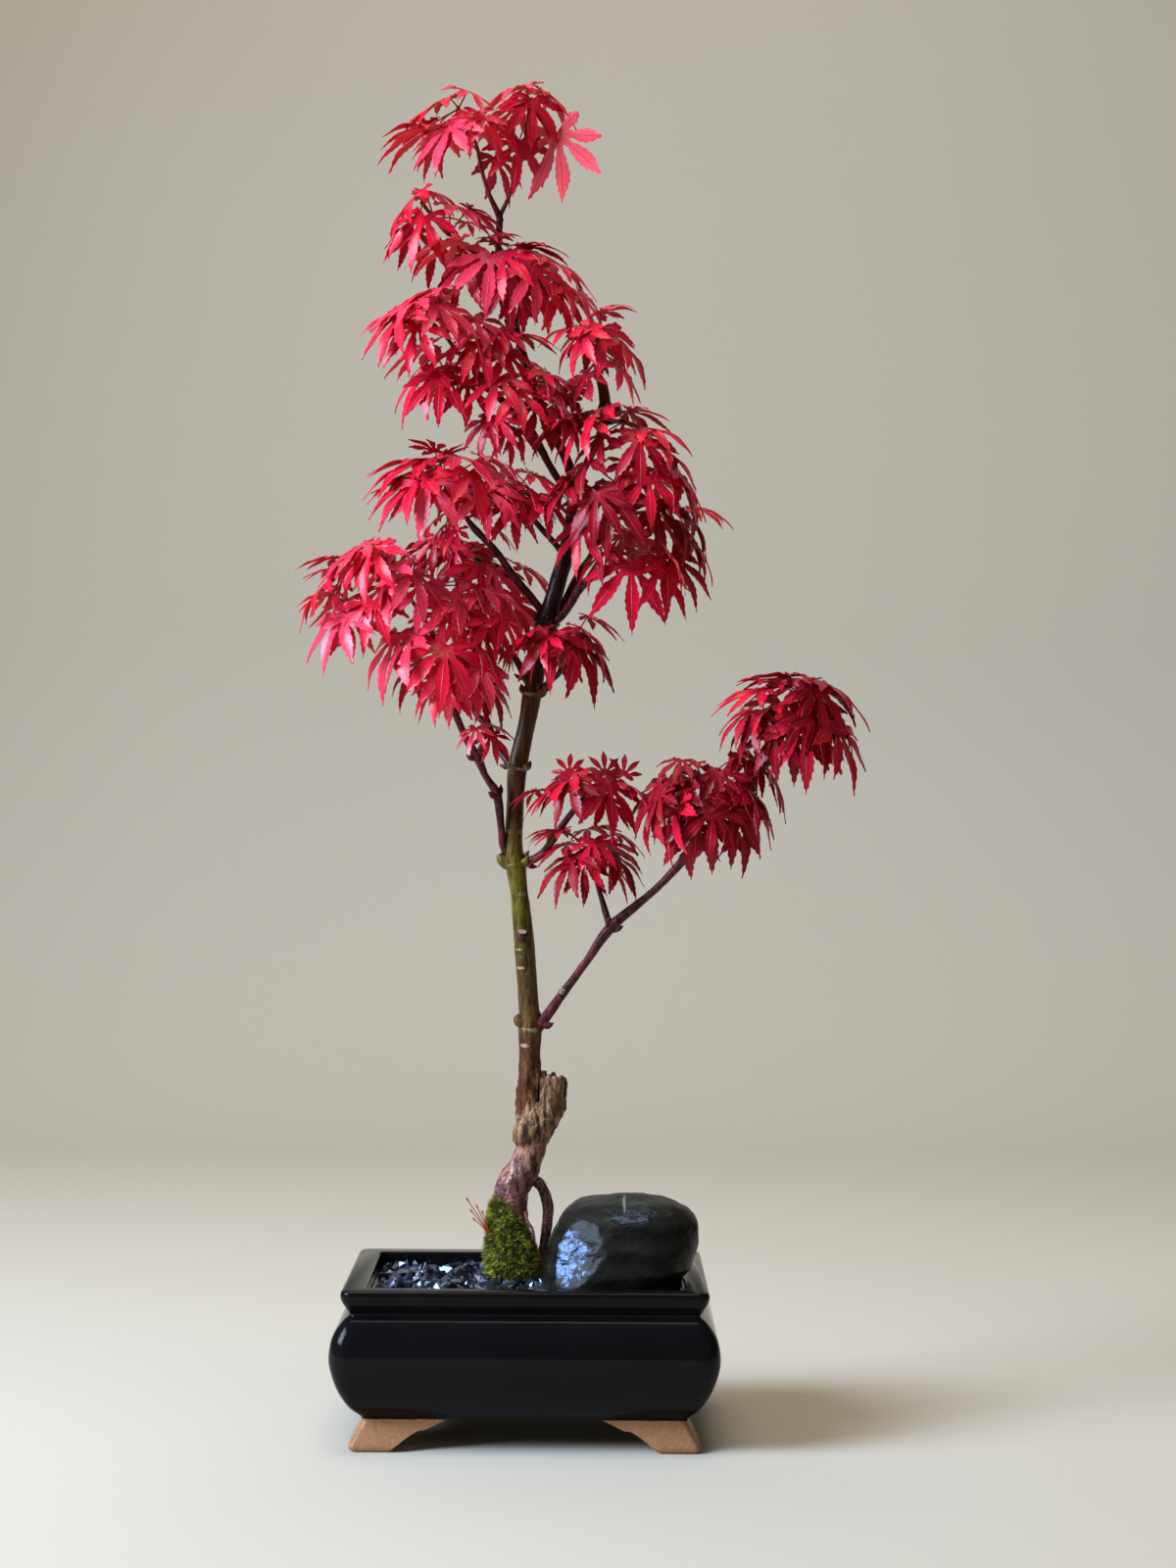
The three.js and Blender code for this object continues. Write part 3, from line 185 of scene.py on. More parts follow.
# The bark's colour up the trunk: the height where it starts, how gradually, its dark and its pale tone.
BARK_BANDS = {
    "red": [192, 3, (0.045, 0.013, 0.004, 1), (0.16, 0.055, 0.015, 1)],
    "olive brown": [214, 16, (0.04, 0.018, 0.003, 1), (0.14, 0.075, 0.012, 1)],
    "green": [262, 18, (0.04, 0.028, 0.002, 1), (0.17, 0.125, 0.010, 1)],
    "brown": [318, 14, (0.025, 0.009, 0.003, 1), (0.11, 0.05, 0.016, 1)],
    "plum": [415, 22, (0.006, 0.002, 0.003, 1), (0.042, 0.011, 0.011, 1)],
}
# The bark's relief in millimetres up to a height of the trunk, and on the limbs.
BARK_RELIEF = ((128, 1.4), (150, 1.7), (190, 2.6), (200, 1.0), (280, 0.5), (math.inf, 0.25))
LIMB_RELIEF = {"graft_stub": 2.8, "graft_burl": 2.4, "aerial_root": 0.8}
YOUNG_RELIEF = 0.3
BARK_GRAIN = {"coarse": (210.0, 0.65), "fine": (700.0, 0.35)}  # scale and share of its lumps
SMOOTH_RELIEF = 0.1  # of twigs and stalks
BARK_DEPTH = 3.0  # greatest depth of the relief, on the trunk and on the twigs
TWIG_DEPTH = 0.3
LIMBS = {
    "graft_stub": [[2, 15, 150, 6], [8, 14, 162, 7.6], [12.4, 13.5, 174, 7.4], [13, 13.5, 186, 6.9]],
    "graft_burl": [[-3.4, 12, 149, 4], [-2.2, 11, 156, 6.4], [3, 10.5, 164, 5], [7, 10.5, 172, 3]],
    "aerial_root": [
        [1, 17, 131, 3.2], [6.5, 18, 127, 3], [10, 18.5, 118, 3], [10.4, 18.5, 108, 2.8],
        [9, 18.5, 97, 2.6], [7.4, 18.5, 86, 2.6], [7, 18.5, SOIL_TOP + CLEARANCE, 2.4],
    ],
    "right_low": [
        [2, 14, 210, 2.8], [6.5, 13, 216, 3.1], [17.5, 10, 231.5, 2.4], [30.8, 7, 250, 2.2],
        [44, 4, 268.8, 2.9], [67, -2, 289, 2], [82, -6, 305, 2.3], [108, -12, 335, 1.8],
        [123, -15, 354, 2], [129.4, -16, 362, 3.1], [131, -16, 368, 2],
    ],
    "right_low_mid": [[99, -10, 325, 1.5], [97.5, -13, 330, 1.5], [97, -15, 335, 1.3]],
    "right_low_up": [[44, 4, 267, 1.8], [41.5, 5.5, 275, 1.8], [37, 9, 290, 1.4], [34.8, 12, 300, 1.6]],
    "right_second": [
        [-8, 13, 301, 2], [-2, 12, 303.5, 2.4], [7.3, 6, 309.3, 2.1], [19.6, -2, 327, 1.8],
        [27, -6, 336, 1.7],
    ],
    "left_low": [
        [-9, 13, 305, 2.2], [-14.4, 11.5, 311, 2.2], [-16, 8, 323, 2], [-18.2, 5, 339.7, 2.5],
        [-24.4, 0, 350.4, 1.9], [-28.9, -4, 360.5, 2.5], [-34.8, -8, 370.6, 1.9], [-42.2, -12, 388.2, 2],
        [-47, -14, 402, 1.7], [-51, -15, 416, 1.7],
    ],
    "left_low_bud": [[-28.9, -4, 360, 1.5], [-26.6, -7, 366, 1.3]],
    "left_low_side": [[-46, -14, 399, 1.5], [-45, -18, 404, 1.3]],
    "left_second": [
        [-7, 14, 351, 2], [-11.4, 15.4, 356.4, 2.3], [-17.7, 20, 364.8, 1.9], [-24.4, 26, 377.5, 2.3],
        [-30.5, 30, 384, 1.7], [-34.5, 33, 392, 1.6],
    ],
    "left_third": [
        [0, 14, 398, 1.8], [-3.6, 14.6, 404, 2], [-8.4, 17.5, 413.5, 1.9], [-14.5, 20.5, 422.3, 1.7],
        [-19.8, 24, 430.8, 2.3], [-22.5, 26, 438, 1.6],
    ],
    "right_third": [[1, 13, 393, 1.7], [5, 8.5, 397, 1.9], [14, 0, 405, 1.6]],
    "left_fourth": [
        [7, 13, 437, 2.2], [1.5, 10, 445, 2.2], [-9.2, 6, 457.5, 2.1], [-19.3, 2, 471.4, 1.9],
        [-30, -3, 482.5, 2],
    ],
    "left_fourth_back": [
        [-9.2, 6.4, 457, 1.6], [-18, 10, 463.4, 1.6], [-28.4, 14, 467.6, 1.7], [-37.4, 20, 471.9, 1.4],
        [-45, 24, 476, 1.4],
    ],
    "right_fork_back": [
        [10, 14, 434, 2.2], [15, 15.6, 440, 2.2], [25.5, 20, 461, 2.2], [31.3, 24, 470.3, 1.7],
        [38, 29, 484, 1.6],
    ],
    "right_fork_front": [
        [10, 12, 433, 2.2], [17, 8, 438, 2.1], [27.6, 0, 453.8, 2.3], [36, -4, 459, 1.7],
        [43, -7, 462.5, 1.8],
    ],
    "right_fork_bud": [[27.6, 0, 453, 1.5], [31.6, -1.5, 459, 1.5], [34.4, -2.6, 463, 1.9]],
    "centre_fork": [[18, 12, 469, 1.9], [12.4, 10, 476.5, 1.7], [0, 6, 490, 1.5], [-7, 3, 501, 1.4]],
    "left_high": [
        [21.6, 11, 501, 2], [15, 9, 509.6, 2], [9, 7, 519, 2], [-1.5, 2, 537, 2.5],
        [-12.9, -4, 548.6, 1.8], [-23.6, -8, 559.3, 2.4], [-31, -11, 568, 1.6],
    ],
    "left_high_side": [[-23.6, -8, 559, 1.4], [-30, -6.5, 561, 1.3]],
    "left_high_front": [[-1.5, 2, 536, 1.5], [-4.4, -4, 542, 1.4]],
    "right_high": [
        [21.5, 10.5, 508, 2], [26.4, 8.6, 515, 2], [31, 7.6, 523, 2], [36.5, 5, 536, 2.2],
        [39, 3, 548, 3.1], [38, 1, 559, 2.9], [35.6, 0, 566, 2.1],
    ],
    "right_high_stub": [[39, 3, 545, 1.8], [43.4, 1.6, 547.6, 1.6], [47, 0, 549.6, 1.9]],
    "right_high_side": [[38, 3.4, 541, 1.5], [43, -0.5, 541.6, 1.4]],
    "leader_right": [[21.4, 10.5, 497, 1.6], [28, 5.5, 500.6, 1.5]],
    "leader_left": [[-4, 10, 573, 1.5], [-7.6, 4.4, 576.6, 1.3]],
    "leader_mid": [[-10.8, 12, 594, 1.6], [-8.4, 6.4, 600, 1.4]],
    "leader_top": [[-20, 12, 623, 1.6], [-26.4, 9.4, 629.6, 1.5]],
}

# The leafy sprays: the limb each grows from, its twigs, and its leaves. A leaf has the place where its
# stalk meets the blade, the length of its middle lobe, the compass direction in which that lobe points
# (0 is +X, 90 is +Y), and how far it is tilted below level there. A seventh number turns the blade about
# its middle lobe, in degrees, so that it faces the front.
SPRAYS = {
    "crown": ["trunk", [
        [[-25, 10, 667], [-29, 8, 680], [-31, 6, 690], [-36, 4, 702], [-42, 2, 712]],
        [[-14, 12, 665], [-9, 12, 680], [-5, 12, 692], [-5, 10, 704], [-2, 8, 715]],
    ], [
        [-46, -2, 716, 28, 190, 25], [-36, -12, 717, 22, -60, 20], [-54, -8, 697, 31, 185, 10],
        [-44, -18, 697, 30, 240, 45], [-26, -14, 703, 28, -60, 40], [-48, 14, 700, 26, 150, 35],
        [-22, 14, 687, 24, 40, 50], [-4, -2, 722, 27, 200, 12], [3, 4, 721, 26, 0, 30],
        [-1, -11, 713, 24, -80, 68], [12, -6, 696, 35, -12, 78, -80], [-8, -5, 692, 26, -95, 70],
        [-15, 2, 704, 26, 170, 10], [-10, 28, 718, 26, 110, 30],
    ]],
    "left_top": ["leader_top", [[[-38, 4, 637], [-47, 0, 643], [-55, -3, 652], [-61, -5, 659]]], [
        [-63, -8, 662, 28, 210, 50], [-60, 0, 666, 25, 10, 8], [-58, -13, 650, 28, 235, 60],
        [-45, -8, 657, 29, -10, 18], [-63, 10, 652, 26, 160, 40], [-50, 14, 641, 26, 130, 40],
        [-40, -10, 637, 28, 190, 15],
    ]],
    "mid_top": ["leader_mid", [[[-7, 2, 607], [-6, -2, 614]], [[-6, 10, 607], [-6, 14, 616]]], [
        [-24, -4, 640, 18, -50, -15], [-5, -10, 634, 24, -20, -8], [2, -6, 631, 35, -8, 20],
        [0, -16, 622, 27, -70, 60], [14, -5, 615, 28, -16, 38], [-22, -14, 629, 31, 260, 55],
        [-35, -8, 626, 29, 220, 55], [-13, -14, 617, 27, -85, 72], [-10, 30, 634, 26, 80, 35],
        [-30, 26, 634, 26, 140, 35],
    ]],
    "left_high": ["left_high", [[[-41, -14, 578], [-48, -15, 587], [-56, -16, 594]]], [
        [-68, -17, 600, 24, 188, 20], [-70, -27, 596, 29, 225, 58], [-60, -22, 605, 28, 205, 30],
        [-49, -14, 611, 28, 185, 12], [-61, -30, 589, 26, 250, 62], [-50, -26, 600, 26, -60, 38],
        [-37, -18, 592, 26, -45, 42], [-58, 4, 606, 26, 150, 30],
    ]],
    "left_mid": ["left_high_side", [[[-37, -5, 563], [-44, -4, 566], [-49, -4, 569]]], [
        [-54, -10, 568, 31, 205, 45], [-49, -18, 565, 26, 265, 70], [-35, -16, 561, 23, -75, 70],
        [-54, -18, 580, 27, 190, 22], [-30, -20, 581, 27, -65, 42], [-46, 12, 573, 26, 140, 35],
    ]],
    "centre_high": ["leader_left", [[[-10.6, 0, 579], [-15, -4, 583]]], [
        [-8, -8, 587, 22, -12, 0], [-21, -10, 589, 26, 240, 50], [-27, -3, 579, 26, 210, 40],
        [-14, -15, 576, 25, -60, 60],
    ]],
    "centre_star": ["left_high_front", [[[-6, -8, 548], [-7, -10, 554]]], [
        [-23, -16, 541, 22, 235, 62], [-14, -14, 535, 19, -50, 68], [-8, -21, 556, 24, -75, 52],
        [-18, -20, 563, 26, 250, 55], [3, -16, 566, 20, -30, 10], [8, -14, 560, 25, -20, 32],
    ]],
    "right_high": ["right_high", [[[34, -2, 576], [35, -4, 588]], [[41, -4, 572], [46, -6, 576]]], [
        [36, -8, 599, 19, -40, -35], [24, -10, 592, 21, 190, 10], [27, -15, 588, 25, 230, 58],
        [37, -17, 590, 25, -85, 68], [46, -10, 585, 27, -22, 50], [45, -15, 571, 23, -40, 58],
        [26, 6, 566, 20, 190, 32], [40, 13, 592, 25, 60, 40],
    ]],
    "right_upper": ["right_high_side", [[[50, -4, 541], [57, -7, 538]]], [
        [38, -12, 548, 29, 200, 30], [30, -17, 540, 27, 215, 42], [60, -12, 537, 27, -20, 4],
        [66, -15, 529, 31, -28, 34], [58, -24, 531, 26, -90, 66], [51, -8, 547, 24, 20, 8],
        [57, 14, 538, 26, 50, 35],
    ]],
    "right_middle": ["leader_right", [[[36, -1, 505], [46, -6, 509], [56, -9, 511]]], [
        [30, -17, 518, 27, 208, 35], [42, -26, 501, 33, 258, 58], [52, -15, 518, 26, -55, 36],
        [73, -12, 518, 33, -18, 50], [62, -26, 510, 26, -80, 60], [66, 12, 512, 26, 40, 40],
        [20, -18, 507, 28, 196, 34], [45, 20, 509, 26, 100, 40],
    ]],
    "right_back": ["right_fork_back", [[[46, 25, 491], [57, 16, 494], [68, 8, 494]]], [
        [66, -11, 497, 29, -70, 64], [80, -2, 496, 29, -20, 48], [84, 8, 480, 26, -8, 45],
        [88, 16, 497, 21, 0, 5], [71, 30, 490, 26, 40, 45], [54, 38, 484, 26, 85, 50],
    ]],
    "right_star": ["right_fork_front", [[[47, -10, 466], [49, -13, 471]]], [
        [53, -21, 464, 33, -85, 72], [75, -11, 470, 29, -30, 58], [38, -16, 470, 21, 215, 60],
        [62, 4, 473, 25, 30, 50], [27, -16, 483, 25, 245, 64],
    ]],
    "centre": ["centre_fork", [[[-9, 1, 506]]], [
        [-1, -10, 513, 24, -12, 30], [6, -14, 499, 23, -70, 60], [-9, -14, 496, 19, -85, 74],
        [-14, 10, 515, 24, 150, 30],
    ]],
    "left_umbrella": ["left_fourth", [[[-36, -6, 490], [-41, -8, 499], [-47, -9, 509]]], [
        [-52, -9, 524, 18, 260, -30], [-58, -14, 519, 33, 182, 14], [-59, -24, 510, 33, 212, 42],
        [-53, -30, 507, 31, 250, 60], [-40, -15, 521, 33, -15, 14], [-33, -25, 512, 31, -60, 48],
        [-25, -27, 504, 27, -85, 64], [-50, 10, 516, 26, 150, 35], [-16, -12, 508, 27, -25, 32],
        [-23, -10, 484, 17, -10, 22], [-40, -16, 482, 15, 215, 58], [-50, -10, 489, 15, 190, 42],
    ]],
    "left_middle": ["left_fourth_back", [[[-50, 26, 479]], [[-44, 17, 481]]], [
        [-52, 12, 480, 21, 250, 64], [-40, 8, 471, 25, -85, 56], [-29, 2, 464, 25, -70, 60],
        [-58, 36, 478, 26, 150, 40], [-38, 40, 475, 26, 90, 45], [-16, 30, 462, 25, 20, 25],
    ]],
    "left_low": ["left_low", [
        [[-53, -15, 427], [-60, -16, 438], [-68, -16, 450], [-76, -16, 460], [-84, -16, 467]],
        [[-53.6, -12, 428], [-52, -8, 442], [-52, -5, 454]],
        [[-56, -15, 425], [-65, -14, 425.5], [-82, -12, 428], [-91, -10, 435]],
    ], [
        [-88, -18, 474, 29, 192, 35], [-84, -27, 471, 29, 242, 60], [-84, -8, 475, 23, -8, 0],
        [-105, -9, 467, 19, 180, 5], [-71, -24, 461, 27, 212, 50], [-63, -28, 458, 29, -60, 42],
        [-77, -22, 452, 28, 222, 60], [-74, 6, 466, 26, 150, 30], [-94, 2, 469, 27, 170, 35],
        [-109, -13, 454, 27, 197, 50], [-99, -21, 437, 31, 222, 55], [-96, -24, 434, 21, -80, 74],
        [-109, -2, 448, 18, 172, 20], [-100, 9, 446, 26, 150, 45], [-84, -26, 443, 27, 250, 60],
        [-57, -25, 452, 25, 262, 66], [-43, -22, 448, 27, -60, 54], [-46, -27, 437, 25, 265, 68],
        [-35, -7, 455, 27, -18, 34],
    ]],
    "left_star": ["left_low_side", [[[-45, -20, 408], [-46, -20, 413]]], [
        [-45, -34, 418, 33, 270, 60], [-63, -26, 424, 29, 207, 52], [-71, -19, 425, 33, 218, 64],
        [-30, -23, 421, 27, -28, 38], [-50, -24, 402, 23, 250, 68], [-32, -20, 405, 25, -50, 58],
        [-40, 0, 418, 27, 60, 50], [-59, 0, 413, 27, 160, 50],
    ]],
    "left_back": ["left_second", [[[-37, 35, 398]]], [
        [-48, 37, 405, 26, 170, 50], [-33, 46, 408, 26, 65, 50], [-26, 27, 402, 25, -25, 58],
        [-40, 22, 409, 25, 258, 58],
    ]],
    "centre_left": ["left_third", [[[-24, 27, 443]]], [
        [-27, 16, 452, 26, 248, 60], [-13, 15, 448, 26, -42, 52], [-31, 38, 452, 26, 150, 45],
        [-15, 40, 448, 26, 60, 50],
    ]],
    "right_third": ["right_third", [[[16, -2, 410]]], [
        [5, -12, 428, 27, 200, 24], [12, -20, 426, 29, 265, 58], [24, -16, 423, 33, -42, 58],
        [29, -5, 424, 27, -2, 44], [15, 11, 426, 25, 80, 45],
    ]],
    "left_bud": ["left_low_bud", [[[-26, -9, 369]]], [
        [-22, -14, 378, 15, -20, 20], [-29, -17, 376, 15, 240, 50], [-21, -19, 372, 15, -60, 58],
    ]],
    "right_second": ["right_second", [[[30, -8, 341], [33, -9, 346]]], [
        [21, -10, 352, 13, 90, -82], [24, -15, 352, 25, 190, 30], [22, -23, 348, 25, 228, 54],
        [42, -21, 346, 27, -75, 60], [47, -10, 348, 25, -8, 24], [40, -11, 352, 13, 90, -85],
        [50, -9, 351, 13, 80, -85], [32, 10, 352, 25, 95, 35],
    ]],
    "right_inner": ["right_low_up", [[[33, 12, 306], [32, 12, 310]]], [
        [20, 4, 314, 22, 190, 18], [23, -6, 308, 27, 228, 54], [29, -7, 304, 21, -85, 68],
        [44, 2, 309, 25, -32, 48], [31, 3, 322, 19, -60, 0], [41, 25, 314, 25, 60, 40],
    ]],
    "right_mid": ["right_low_mid", [[[95, -17, 341], [92, -18, 348]]], [
        [88, -21, 358, 19, 195, 10], [79, -26, 346, 29, 202, 40], [78, -31, 336, 31, 204, 55],
        [96, -35, 335, 31, 268, 68], [111, -29, 336, 33, -42, 58], [110, -20, 350, 27, -8, 32],
        [101, -29, 353, 23, -90, 55], [92, 4, 351, 26, 130, 40], [107, 8, 345, 26, 60, 45],
        [76, -4, 347, 27, 170, 40],
    ]],
    "right_end": ["right_low", [
        [[134, -17, 375], [140, -18, 384], [147, -18, 393]], [[127, -18, 376], [124, -20, 381]],
    ], [
        [149, -17, 402, 31, 182, 4], [152, -22, 402, 34, -8, 18], [151, -30, 398, 29, -60, 48],
        [132, -21, 389, 29, 190, 20], [119, -27, 381, 23, 212, 48], [145, -36, 380, 33, -72, 66],
        [162, -28, 379, 33, -30, 58], [159, -12, 390, 29, 2, 40], [135, 0, 391, 27, 110, 35],
        [153, 2, 391, 27, 50, 40], [130, -34, 374, 23, 262, 60], [113, -14, 365, 21, 200, 42],
    ]],
}

# Further leaves of the sprays, which the solids leave out.
MORE_LEAVES = {
    "crown": [[-33, -13, 704, 24, 262, 50], [-56, 2, 702, 26, 172, 10]],
    "left_top": [[-35, -4, 655, 20, -10, 22]],
    "mid_top": [[13, -9, 612, 25, -35, 62], [7, -12, 612, 22, -75, 72], [24, 2, 612, 22, -15, 45]],
    "centre_star": [
        [7, -13, 567, 24, -30, 52], [9, -15, 554, 24, -20, 40], [16, -10, 546, 22, -25, 55],
        [2, -12, 548, 22, -50, 62],
    ],
    "right_high": [[30, -10, 566, 18, 230, 50], [24, -8, 560, 20, 205, 45], [20, -6, 552, 20, 200, 50]],
    "right_upper": [[38, -14, 533, 22, 215, 55], [26, -10, 545, 22, 200, 40]],
    "right_middle": [[78, -4, 512, 27, -5, 55]],
    "right_back": [[82, -4, 484, 24, -30, 62]],
    "right_star": [[68, -16, 462, 27, -60, 66]],
    "left_umbrella": [
        [-56, -10, 520, 30, 168, 0], [-26, -8, 521, 30, -6, 16], [-62, -12, 514, 27, 190, 26],
        [-44, -22, 510, 27, -80, 60], [-5, -10, 507, 24, -20, 38], [-12, -12, 494, 22, -60, 58],
    ],
    "left_low": [[-30, -18, 437, 22, -40, 58], [-26, -14, 426, 20, -50, 60]],
    "left_star": [[-22, -22, 434, 22, -60, 62], [-44, -30, 409, 26, -88, 76, 0]],
    "right_third": [[30, -10, 436, 20, 0, 20]],
    "right_second": [
        [13, -12, 344, 20, 185, 35], [40, -14, 340, 22, -60, 66], [54, -12, 345, 20, -5, 30],
    ],
    "right_inner": [[18, 0, 322, 18, 180, 12], [46, -2, 320, 18, -10, 25], [34, -8, 316, 20, -80, 50]],
    "right_mid": [
        [70, -26, 346, 27, 195, 42], [66, -24, 336, 24, 205, 55], [88, -34, 337, 27, 270, 58],
        [106, -33, 336, 29, -65, 66], [118, -24, 342, 27, -30, 48], [112, -16, 362, 22, -10, 40],
        [80, -20, 352, 24, 190, 20], [120, -18, 361, 24, -20, 45], [128, -20, 353, 24, -8, 52],
        [84, -30, 326, 26, 262, 76],
    ],
    "right_end": [
        [124, -24, 397, 26, 188, 10], [118, -20, 386, 24, 195, 25], [140, -30, 381, 30, -95, 70],
        [138, -20, 404, 26, 195, -6], [152, -34, 384, 29, -55, 62],
    ],
}

LEAF_TONES = (0.05, 0.95)  # from the darkest leaf to the palest
# Painted light and shade: how much darker or paler than the rest the leaves of a spray are painted, paler
# on the lit left and top and darker on the shaded right.
SPRAY_LIGHT_AND_SHADE = {
    "right_end": -0.52, "right_mid": -0.52, "right_second": -0.18, "right_inner": -0.2,
    "right_middle": -0.22, "right_back": -0.22, "right_star": -0.18, "right_third": -0.12,
    "left_low": 0.28, "crown": 0.3, "left_top": 0.24, "left_high": 0.46, "left_mid": 0.24,
    "mid_top": 0.08, "left_umbrella": 0.16, "left_star": 0.24,
}
# How far the blades of a spray are tipped, as a share of the listed tilt.
TILT_SHARE = 0.85
SPRAY_TILTS = {"right_mid": 1.15, "right_end": 1.05, "mid_top": 1.0, "crown": 1.0, "right_middle": 0.95}
COMPANIONS = 0.3  # share of the listed leaves that have a smaller one beside them
# Such a leaf against the listed one, from least to most: how far inwards, to the back and up it lies, how
# its tilt and its heading differ, and its size.
COMPANION = {
    "inward": (-2, 11), "back": (-8, 8), "up": (-6, 4), "tilt": (-22, 14), "heading": (-60, 60),
    "size": (0.72, 0.95),
}
MOST_DIP = 72  # its most tilt

# Ragged ends on top of the cut stub: x, y, height and lean.
GRAFT_SPLINTERS = [
    [8.4, 12, 190.2, -0.6], [10.5, 8.6, 188.6, 0.2], [13.6, 7.9, 187.6, 0.5], [16.6, 9.8, 186.8, 0.6],
    [9, 16.5, 189.4, -0.3], [13, 19, 188.4, 0.3], [17.2, 15.4, 187.2, 0.5],
]
# Their height, radius and relief at the foot and at the bend; and their tips' radius and relief.
SPLINTER_FOOT = (176, 2.2, 1.5)
SPLINTER_BEND = (184, 2, 1.5)
SPLINTER_TIP = (0.9, 1)
# Thin roots and hairs low down: x, y, z and radius at their joints.
ROOT_HAIRS = [
    [[4.4, 10, 133.6, 0.35], [7.6, 8, 131.6, 0.22], [10.6, 7, 129.2, 0.14]],
    [[5.6, 11, 130.6, 0.3], [7.2, 9.5, 129.6, 0.2], [8.4, 9, 127.6, 0.14]],
    [[-1.6, 6.4, 114, 0.8], [-0.2, 5, 109, 0.75], [2.4, 4.6, 105, 0.7], [3.6, 4.6, 99, 0.5]],
    [[-17.4, 9, 84, 1.6], [-19.6, 7, 88, 1.1], [-19.2, 6, 91.5, 0.6]],
]
# Old nodes that stand out from the bark, in the same way.
KNOBS = [
    [[-3.6, 13, 262, 3.6], [-4, 8.4, 264, 3.5], [-4.2, 7.2, 265.6, 2.4]],
    [[-3, 14, 217, 4.6], [-5.6, 13, 217.4, 3.5], [-7.4, 12.6, 220, 1.6]],
    [[-12, 13, 303, 4.4], [-15.2, 12.6, 305, 3.5], [-17, 12.4, 308, 1.8]],
    [[17.5, 10, 231.5, 2.2], [17.2, 7.8, 233, 2], [17.4, 7.4, 234.4, 1.4]],
    [[44, 4, 268, 3.2], [46.4, 2, 271.6, 3.2], [47.6, 1.4, 274.4, 1.8]],
]

TWIG_RADIUS = 1.1
# Girths of a twig against its limb's end: in the limb, and of the first and the others out of it; and how
# the rest tapers, against TWIG_RADIUS.
TWIG_GIRTHS = {"in_limb": 0.9, "first": 0.95, "others": 0.7, "start": 1.05, "taper": 0.06}
STALK_RADIUS = 0.5
STALK_GIRTHS = (1.5, 1, 0.9, 0.9, 1.3)  # from the twig to the blade, against STALK_RADIUS
STALK_ROOT = 1.6  # how far below a twig's joint a leaf stalk starts
STALK_LENGTH = 18
# A stalk's middle: its share of the way, how far it arches up for its length, how far it wavers, and how
# near to it the joints before and after it are.
STALK_MIDDLE = {"share": 0.55, "arch": 0.05, "waver": 0.6, "before": 0.22, "after": 0.12}
STALK_SUNK = 0.25  # how far under the blade a stalk ends
SWOLLEN = 1.04  # how much thicker than its neighbours a joint with buds is
# Such a joint's half-length and girths, its buds' radius and most radius, and how far out of the bark and
# along the branch a bud's middle and tip are.
BUDS = {
    "ring": 2.4, "girths": (0.8, 1.16, 0.8), "girth": 0.7, "widest": 2.3, "middle": (0.8, 1.4),
    "tip": (2.6, 4.4),
}

# The blade's lobes: angle from the middle one, and length as a share of it.
LOBES = [[-112, 0.4], [-74, 0.72], [-36, 0.93], [0, 1], [36, 0.93], [74, 0.72], [112, 0.4]]
OUTER_NOTCH = 134  # angle of the notch at the stalk
# Shares of the leaf's length: where the cuts between the lobes end, the lobes' greatest half-width, the
# blade's thickness, and how far the skin between the lobes, a tooth and the dent beside it stand out.
NOTCH = 0.17
LOBE_WIDTH = 0.099
BLADE_THICKNESS = 0.011
WEB_LIFT = 0.016
TOOTH = 0.013
TOOTH_DENT = -0.004
TOOTH_AHEAD = 0.014  # how far towards the lobe's tip a tooth points
TEETH = (0.15, 0.97)  # the share of a lobe that they line
LEAST_SIDE = 0.004
FOLD = 0.32  # how steeply a lobe's halves rise from its rib
LOBE_RIPPLE = {"height": 0.012, "pitch": 9}
SHORT_LOBE = 0.75  # width of the shortest lobe against the longest
LOBE_STEPS = {"least": 6, "most": 15}
# How the lobes vary, from least to most: angle, angle of the middle one, length and twist.
LOBE_VARIES = {"angle": (-5, 5), "middle": (-2, 2), "length": (0.93, 1.05), "twist": (-0.25, 0.25)}
# Half-width of a lobe from the notch to its tip, as shares of its free length and of LOBE_WIDTH.
LOBE_OUTLINE = [
    [0, 0.42], [0.12, 0.55], [0.3, 0.84], [0.45, 1], [0.58, 0.94], [0.72, 0.66], [0.86, 0.3], [1, 0.02],
]
DROOPS = [0.45, 0.55, 0.65, 0.75, 0.85, 0.95]  # bend from the hub to the tip, in radians
TWINS = 2  # blades of each droop
LEAF_GROWTH = 1.2  # how much longer than the plain blades of the solids the lobes reach
LEAST_LEAF = 13
PLANT_MIDDLE = TRUNK[16][0]  # x of the trunk about half way up
TURN = 2 * math.pi
ROUND = 6.283  # upper end of the random turns, in radians


# ---- Node trees ----

def arithmetic(operation, turned=False):
    """A method that adds a math node for the value and the other one, if there is one."""
    def method(wire, *other):
        values = (*other, wire) if turned else (wire, *other)
        node = wire.net.node("ShaderNodeMath", {"operation": operation}, dict(enumerate(values)))
        return Wire(wire.net, node.outputs[0])

    return method


class Wire:
    """A value in a node tree. Arithmetic on it adds math nodes."""

    def __init__(self, net, socket):
        self.net = net
        self.socket = socket

    __add__ = __radd__ = arithmetic("ADD")
    __sub__ = arithmetic("SUBTRACT")
    __rsub__ = arithmetic("SUBTRACT", turned=True)
    __mul__ = __rmul__ = arithmetic("MULTIPLY")
    __truediv__ = arithmetic("DIVIDE")
    __pow__ = arithmetic("POWER")
    __abs__ = arithmetic("ABSOLUTE")
    wave = arithmetic("SINE")
    fraction = arithmetic("FRACT")

    def between(self, start, end):
        """How far the value has come from start to end, smoothly, from 0 to 1."""
        settings = {"interpolation_type": "SMOOTHSTEP"}
        node = self.net.node("ShaderNodeMapRange", settings, {0: self, 1: start, 2: end})
        return Wire(self.net, node.outputs[0])


